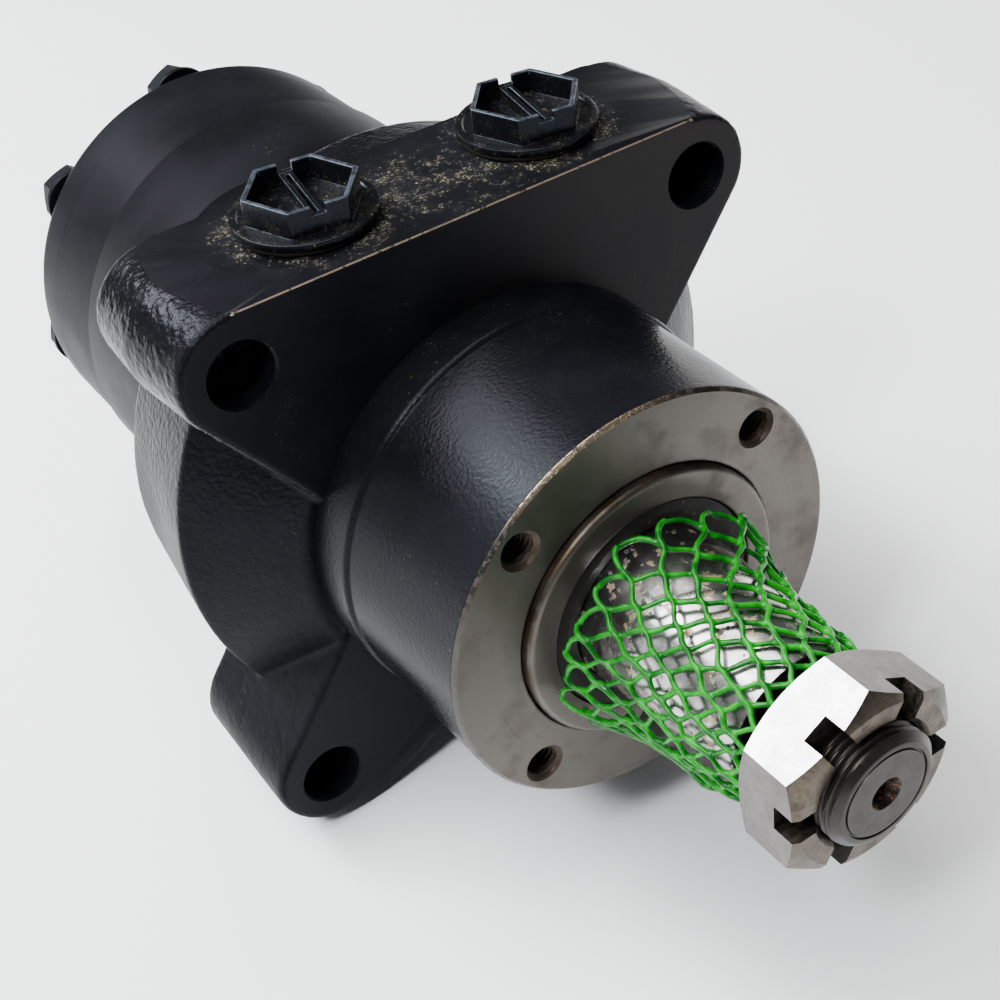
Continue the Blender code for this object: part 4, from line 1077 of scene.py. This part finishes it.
def net_point(y, angle, lift):
    """A point of the net, kept off the taper and off the key."""
    ys, radii, sags = zip(*NET_STATIONS)
    u, v = polar(float(np.interp(y, ys, radii)) + lift, angle)
    su, sv = polar(float(np.interp(y, ys, sags)), KEY_TURN)
    u, v = u + su, v + sv
    reach = math.hypot(u, v)
    rise = (SEAL_LAND_R - TAPER_SMALL_R) / (TAPER_BIG_Y - TAPER_SMALL_Y)
    taper = TAPER_SMALL_R + rise * (y - TAPER_SMALL_Y)
    least = (taper if y > TAPER_SMALL_Y - 1.0 else THREAD_R) + STRAND_R + 0.14
    away = abs((math.degrees(math.atan2(v, u)) - KEY_TURN + 180.0) % 360.0 - 180.0)
    if KEY_Y[0] - 1.5 < y < KEY_Y[1] + 1.5 and away < 16.0:
        least = max(least, KEY_R[1] + 0.30 + STRAND_R - max(0.0, away - 10.0) * 0.3)
    grow = max(1.0, least / reach)
    return Vector((u * grow, y, v * grow))


def strand_path(nodes, family, start):
    """The points of one strand from the rim to the nut; family 1 and -1 wind opposite ways."""
    cells = len(NET_RIM)
    fine = 9
    path = []
    column = start
    for row in range(NET_ROWS):
        a = nodes[row, column % cells]
        if (row % 2 == 1) == (family > 0):
            column += family
        b = nodes[row + 1, column % cells]
        turn = b[1] - a[1]
        turn -= 360.0 * round(turn / 360.0)
        for i in range(fine):
            t = i / fine
            if row == 0:
                swing = 0.85 * math.sin(math.pi / 2 * t) + 0.15 * t
                along = 0.75 * (1 - math.cos(math.pi / 2 * t)) + 0.25 * t * t
            else:
                swing, along = t - 0.82 * math.sin(2 * math.pi * t) / (2 * math.pi), t
            lift = a[2] + (b[2] - a[2]) * t + family * STRAND_OFFSET
            path.append(net_point(a[0] + (b[0] - a[0]) * along, a[1] + turn * swing, lift))
    path.append(net_point(b[0], b[1], b[2] + family * STRAND_OFFSET))
    for _ in range(2):
        inner = [(path[i - 1] + path[i] * 2 + path[i + 1]) / 4 for i in range(1, len(path) - 1)]
        path = [path[0]] + inner + [path[-1]]
    return path


def add_strand(bm, path, phase):
    """A round strand of slightly uneven thickness along path."""
    sides = 8
    rings = []
    for i, p in enumerate(path):
        ahead = (path[min(i + 1, len(path) - 1)] - path[max(i - 1, 0)]).normalized()
        side = ahead.cross(Vector((p.x, 0.0, p.z)).normalized()).normalized()
        out = side.cross(ahead)
        size = STRAND_R * (1.0 + 0.12 * math.sin(i * 0.35 + phase))
        rings.append([tuple(p + size * (side * math.cos(w) + out * math.sin(w)))
                      for w in (2 * math.pi * j / sides for j in range(sides))])
    add_rings(bm, rings, False)


def make_net():
    """Extruded net: two families of strands that run together for a little at each crossing."""
    nodes = net_nodes()
    bm = bmesh.new()
    for family in (1, -1):
        for k in range(len(NET_RIM)):
            add_strand(bm, strand_path(nodes, family, k), k * 1.7 + family)
    net = remesh(to_object("shaft_net", bm), NET_VOXEL, 3)
    finish_piece(net, "shaft", "shaft_net_sleeve", ["net"], 80.0)


# ---- port plugs ----
def plug_hexagon(flats, centre, corner_r):
    return rounded(hexagon(flats / 2 / COS_30, centre, PLUG_TURN + 30.0), corner_r, 4)


def port_box(centre, half, low, high):
    """A box across the plug, along its screwdriver slot."""
    lengthways, crossways = polar(half[0], PLUG_TURN + 60.0), polar(half[1], PLUG_TURN + 150.0)
    corners = [tuple(c + a * u + b * v for c, u, v in zip(centre, lengthways, crossways))
               for a, b in ((1, 1), (-1, 1), (-1, -1), (1, -1))]
    return solid("port_box", add_prism, corners, low, high, axis="Z")


def make_plug(side, name):
    centre = (side * PORT_X, PORT_Y)
    low, high = PLUG_FLANGE_Z
    shank = [(TOP_Z - 13.0, PORT_BORE_R - 1.3), (TOP_Z - 12.0, PORT_BORE_R - 0.3), (low, PORT_BORE_R - 0.3),
             (low, PLUG_FLANGE_R - 0.25), (low + 0.12, PLUG_FLANGE_R - 0.08), (low + 0.3, PLUG_FLANGE_R),
             (high - 0.35, PLUG_FLANGE_R), (high - 0.12, PLUG_FLANGE_R - 0.1), (high, PLUG_FLANGE_R - 0.35),
             (high, PLUG_FLANGE_R - 1.4), (high - 0.28, PLUG_FLANGE_R - 1.75), (high - 0.28, 6.0)]
    plug = solid("plug_" + name, add_turned, shank, 96, centre, close=False, axis="Z")
    outer = plug_hexagon(PLUG_HEX_FLATS, centre, 0.5)
    boolean(plug, solid("hexagon", add_prism, outer, high - 0.8, PLUG_TOP_Z, axis="Z"), "UNION")
    inner = plug_hexagon(PLUG_HEX_FLATS - 2 * PLUG_WALL, centre, 0.35)
    mouth = [tuple(c + (value - c) * 1.03 for c, value in zip(centre, point)) for point in inner]
    levels = ((inner, high + 0.4), (inner, PLUG_TOP_Z - 0.9), (mouth, PLUG_TOP_Z + 0.6))
    boolean(plug, solid("hollow", add_rings, [raised(outline, z, "Z") for outline, z in levels], False))
    half = PLUG_HEX_FLATS / 2
    boolean(plug, port_box(centre, (half - 0.5, 1.4), high, PLUG_TOP_Z - 2.0), "UNION")
    boolean(plug, port_box(centre, (half + 2.0, 1.5), PLUG_TOP_Z - 1.7, PLUG_TOP_Z + 1.0))
    boolean(plug, port_box(centre, (half - PLUG_WALL - 0.6, 0.42), high + 1.4, PLUG_TOP_Z))
    bevel(plug, 0.24, 50.0, 3)

    def choose(c, n):
        # the rim and rib faces take the painted highlight material
        rim = (c[:, 2] > PLUG_TOP_Z - 0.3) & (n[:, 2] > 0.2)
        rib = (c[:, 2] > PLUG_TOP_Z - 2.3) & (n[:, 2] > 0.2) & (n[:, 2] < 0.9)
        return np.where(rim | rib, 1, 0)

    finish_piece(plug, "body", "port_plug_" + name, ["plug", "plug_rim_highlight"], 30.0, choose)
    seal = [(TOP_Z + 0.3, PORT_BORE_R + 2.0), (low - 0.3, PORT_BORE_R + 2.0),
            (low - 0.3, PLUG_SEAL_R), (TOP_Z + 0.3, PLUG_SEAL_R)]
    make_ring("plug_seal_" + name, seal, "port_seal_" + name, "rubber", 96, centre, "Z")


# ---- rear pack ----
def stator_inner():
    """(radius, direction) round the inside of the gear ring, with a pocket for each roller."""
    pocket = ROLLER_R + 0.2
    bore = ROLLER_CIRCLE_R + 0.4
    half_angle = math.degrees(math.asin(pocket / ROLLER_CIRCLE_R)) - 0.15
    points = []
    for k in range(ROLLERS):
        centre = GEAR_PHASE + STEP * k
        for i in range(17):
            offset = half_angle * math.sin(math.pi * (i / 16 - 0.5))
            angle = math.radians(offset)
            chord = pocket ** 2 - (ROLLER_CIRCLE_R * math.sin(angle)) ** 2
            reach = ROLLER_CIRCLE_R * math.cos(angle) + math.sqrt(max(chord, 0.0))
            points.append((max(reach, bore), centre + offset))
        for share in (0.15, 0.3, 0.45, 0.6, 0.75, 0.9):
            points.append((bore, centre + half_angle + (STEP - 2 * half_angle) * share))
    return points


def pack_holes(span, feed=False):
    bm = bmesh.new()
    low, high = span[0] - 1.0, span[1] + 1.0
    for direction in bolt_directions():
        add_prism(bm, circle(BOLT_HOLE_R, polar(BOLT_CIRCLE_R, direction), 32), low, high)
        if feed:
            add_prism(bm, circle(FEED_HOLE_R, polar(FEED_R, direction), 24), low, high)
    return to_object("pack_holes", bm)


def paint_outside(centre, normal):
    """Bare metal inside the pack's outer skin."""
    return np.where(np.hypot(centre[:, 0], centre[:, 2]) < PACK_R - 0.5, 1, 0)


def seam(at, way):
    """The rim of a plate's face at y, with its lip standing out that way along Y."""
    return [(at, SEAM_R), (at + way * SEAM_LIP, SEAM_R), (at + way * SEAM_LIP, PACK_R)]


def seal_groove(at, way):
    """The groove in a plate's face at y, cut that way along Y."""
    inner, outer, depth = SEAL_GROOVE
    return [(at, inner), (at + way * depth, inner), (at + way * depth, outer), (at, outer)]


def make_spacer_plate():
    start, end = PLATE_Y
    rear = seal_groove(end, -1) + seam(end, 1)
    profile = [(start, 17.0)] + seal_groove(start, 1) + seam(start, -1) + rear[::-1] + [(end, 17.0)]
    plate = boolean(solid("pack_spacer_plate", add_turned, profile, 180), pack_holes(PLATE_Y, True))
    finish_piece(plate, "body", "spacer_plate", ["pack", "bore"], 40.0, paint_outside)


def make_stator_ring():
    start, end = STATOR_Y
    pockets = stator_inner()
    outline = seam(start, -1) + seam(end, 1)[::-1]
    rings = [[(radius, y, angle) for _, angle in pockets] for y, radius in outline]
    rings += [[(radius, y, angle) for radius, angle in pockets] for y in (end, start)]
    rings = [[(polar(r, a)[0], y, polar(r, a)[1]) for r, y, a in ring] for ring in rings]
    stator = boolean(solid("pack_stator_ring", add_rings, rings, True), pack_holes(STATOR_Y))
    finish_piece(stator, "body", "stator_ring", ["pack", "bore"], 40.0, paint_outside)


def make_end_cover():
    start, end = COVER_Y
    profile = seal_groove(start, 1) + seam(start, -1) + [
        (end - 4.2, PACK_R), (end - 3.0, PACK_R - 0.12), (end - 1.9, PACK_R - 0.55),
        (end - 1.0, PACK_R - 1.25), (end - 0.35, PACK_R - 2.2), (end - 0.06, PACK_R - 3.1),
        (end, PACK_R - 3.6)]
    cover = boolean(solid("pack_end_cover", add_turned, profile, 180, close=False), pack_holes(COVER_Y))
    finish_piece(cover, "body", "end_cover", ["pack"], 30.0)


def make_bolt(number, direction):
    """Hexagon head with a turned top chamfer and its washer."""
    place = polar(BOLT_CIRCLE_R, direction)
    seat = COVER_Y[1] + 0.3
    top = seat + WASHER_T
    washer = [(seat, BOLT_HOLE_R), (seat, WASHER_R), (top, WASHER_R), (top, BOLT_HOLE_R)]
    name = "cover_washer_%d" % number
    make_ring("pack_washer_%d" % number, washer, name, "pack", 72, place)
    under = top + 0.3
    corner = BOLT_HEAD_FLATS / 2 / COS_30
    blank = [(BOLT_TIP_Y, BOLT_R - 0.8), (BOLT_TIP_Y + 0.8, BOLT_R), (under, BOLT_R),
             (under, corner - 0.9), (under + 0.4, corner + 0.1), (under + 4.3, corner + 0.1),
             (under + 5.15, 6.1), (under + 5.3, 5.6)]
    bolt = solid("pack_bolt_%d" % number, add_turned, blank, 72, place, close=False)
    head = hexagon(corner, place, direction)
    boolean(bolt, solid("bolt_hexagon", add_prism, head, BOLT_TIP_Y - 2.0, under + 7.0), "INTERSECT")
    finish_piece(bolt, "body", "cover_bolt_%d" % number, ["pack"], 20.0)


# ---- floor and light ----
FLOOR_HALF = 6.0        # metres
FLOOR_GAP = 0.0002


def make_stage():
    """The pale floor, a dim sky and the lamps: soft from above, small and hard from behind and the left."""
    bm = bmesh.new()
    half, base = FLOOR_HALF, CAD_LOW.z - FLOOR_GAP
    bm.faces.new([bm.verts.new((x * half, y * half, base)) for x, y in ((-1, -1), (1, -1), (1, 1), (-1, 1))])
    floor = to_object("floor", bm)
    s = Shader("floor_pale")
    s.base(s.noise(300.0, 3.0), (0.93, 0.93, 0.93), (0.95, 0.95, 0.95))
    floor.data.materials.append(s.finish(0.9))
    world = bpy.data.worlds.new("world")
    bpy.context.scene.world = world
    world.use_nodes = True
    background = world.node_tree.nodes["Background"]
    background.inputs[0].default_value = (0.93, 0.96, 1.0, 1.0)
    background.inputs[1].default_value = 0.14

    def area(name, towards, distance, size, power, colour=(1, 1, 1)):
        """A lamp at that distance in metres, facing the origin."""
        data = bpy.data.lights.new(name, "AREA")
        data.shape, data.size, data.size_y = "RECTANGLE", size[0], size[1]
        data.energy, data.color = power, colour
        light = bpy.data.objects.new(name, data)
        way = Vector(towards).normalized()
        light.location = way * distance
        light.rotation_mode = "QUATERNION"
        light.rotation_quaternion = way.to_track_quat("Z", "Y")
        PIECES.objects.link(light)

    area("key_back_left", (-0.42, 0.52, 0.74), 1.1, (0.75, 0.55), 14.0, (0.93, 0.96, 1.0))
    area("spark_left", (-0.40, 0.68, 0.61), 1.1, (0.24, 0.24), 9.0, (0.90, 0.94, 1.0))
    area("spark_front", (-0.58, -0.29, 0.74), 1.2, (0.20, 0.20), 13.0, (0.92, 0.95, 1.0))
    area("rim_left", (-0.86, 0.50, 0.24), 1.2, (0.5, 0.7), 1.5, (0.95, 0.97, 1.0))
    area("rim_right", (0.82, 0.54, 0.16), 1.2, (0.5, 0.5), 2.5, (1.0, 0.98, 0.95))
    area("top", (-0.30, 0.20, 1.0), 2.1, (2.0, 2.0), 100.0)


make_camera()
make_stage()
make_housing()
make_nose_rings()
make_shaft()
make_nut()
make_net()
make_plug(-1.0, "left")
make_plug(1.0, "right")
make_spacer_plate()
make_stator_ring()
make_end_cover()
for number, direction in enumerate(bolt_directions(), start=1):
    make_bolt(number, direction)
slot_of_node = {row["node"]: row["material_slot"] for row in frame["record"]["subparts"]}
for node_name, node in frame["nodes"].items():
    node.data.materials.clear()
    node.data.materials.append(MATS[SLOT_OF[slot_of_node[node_name]]])
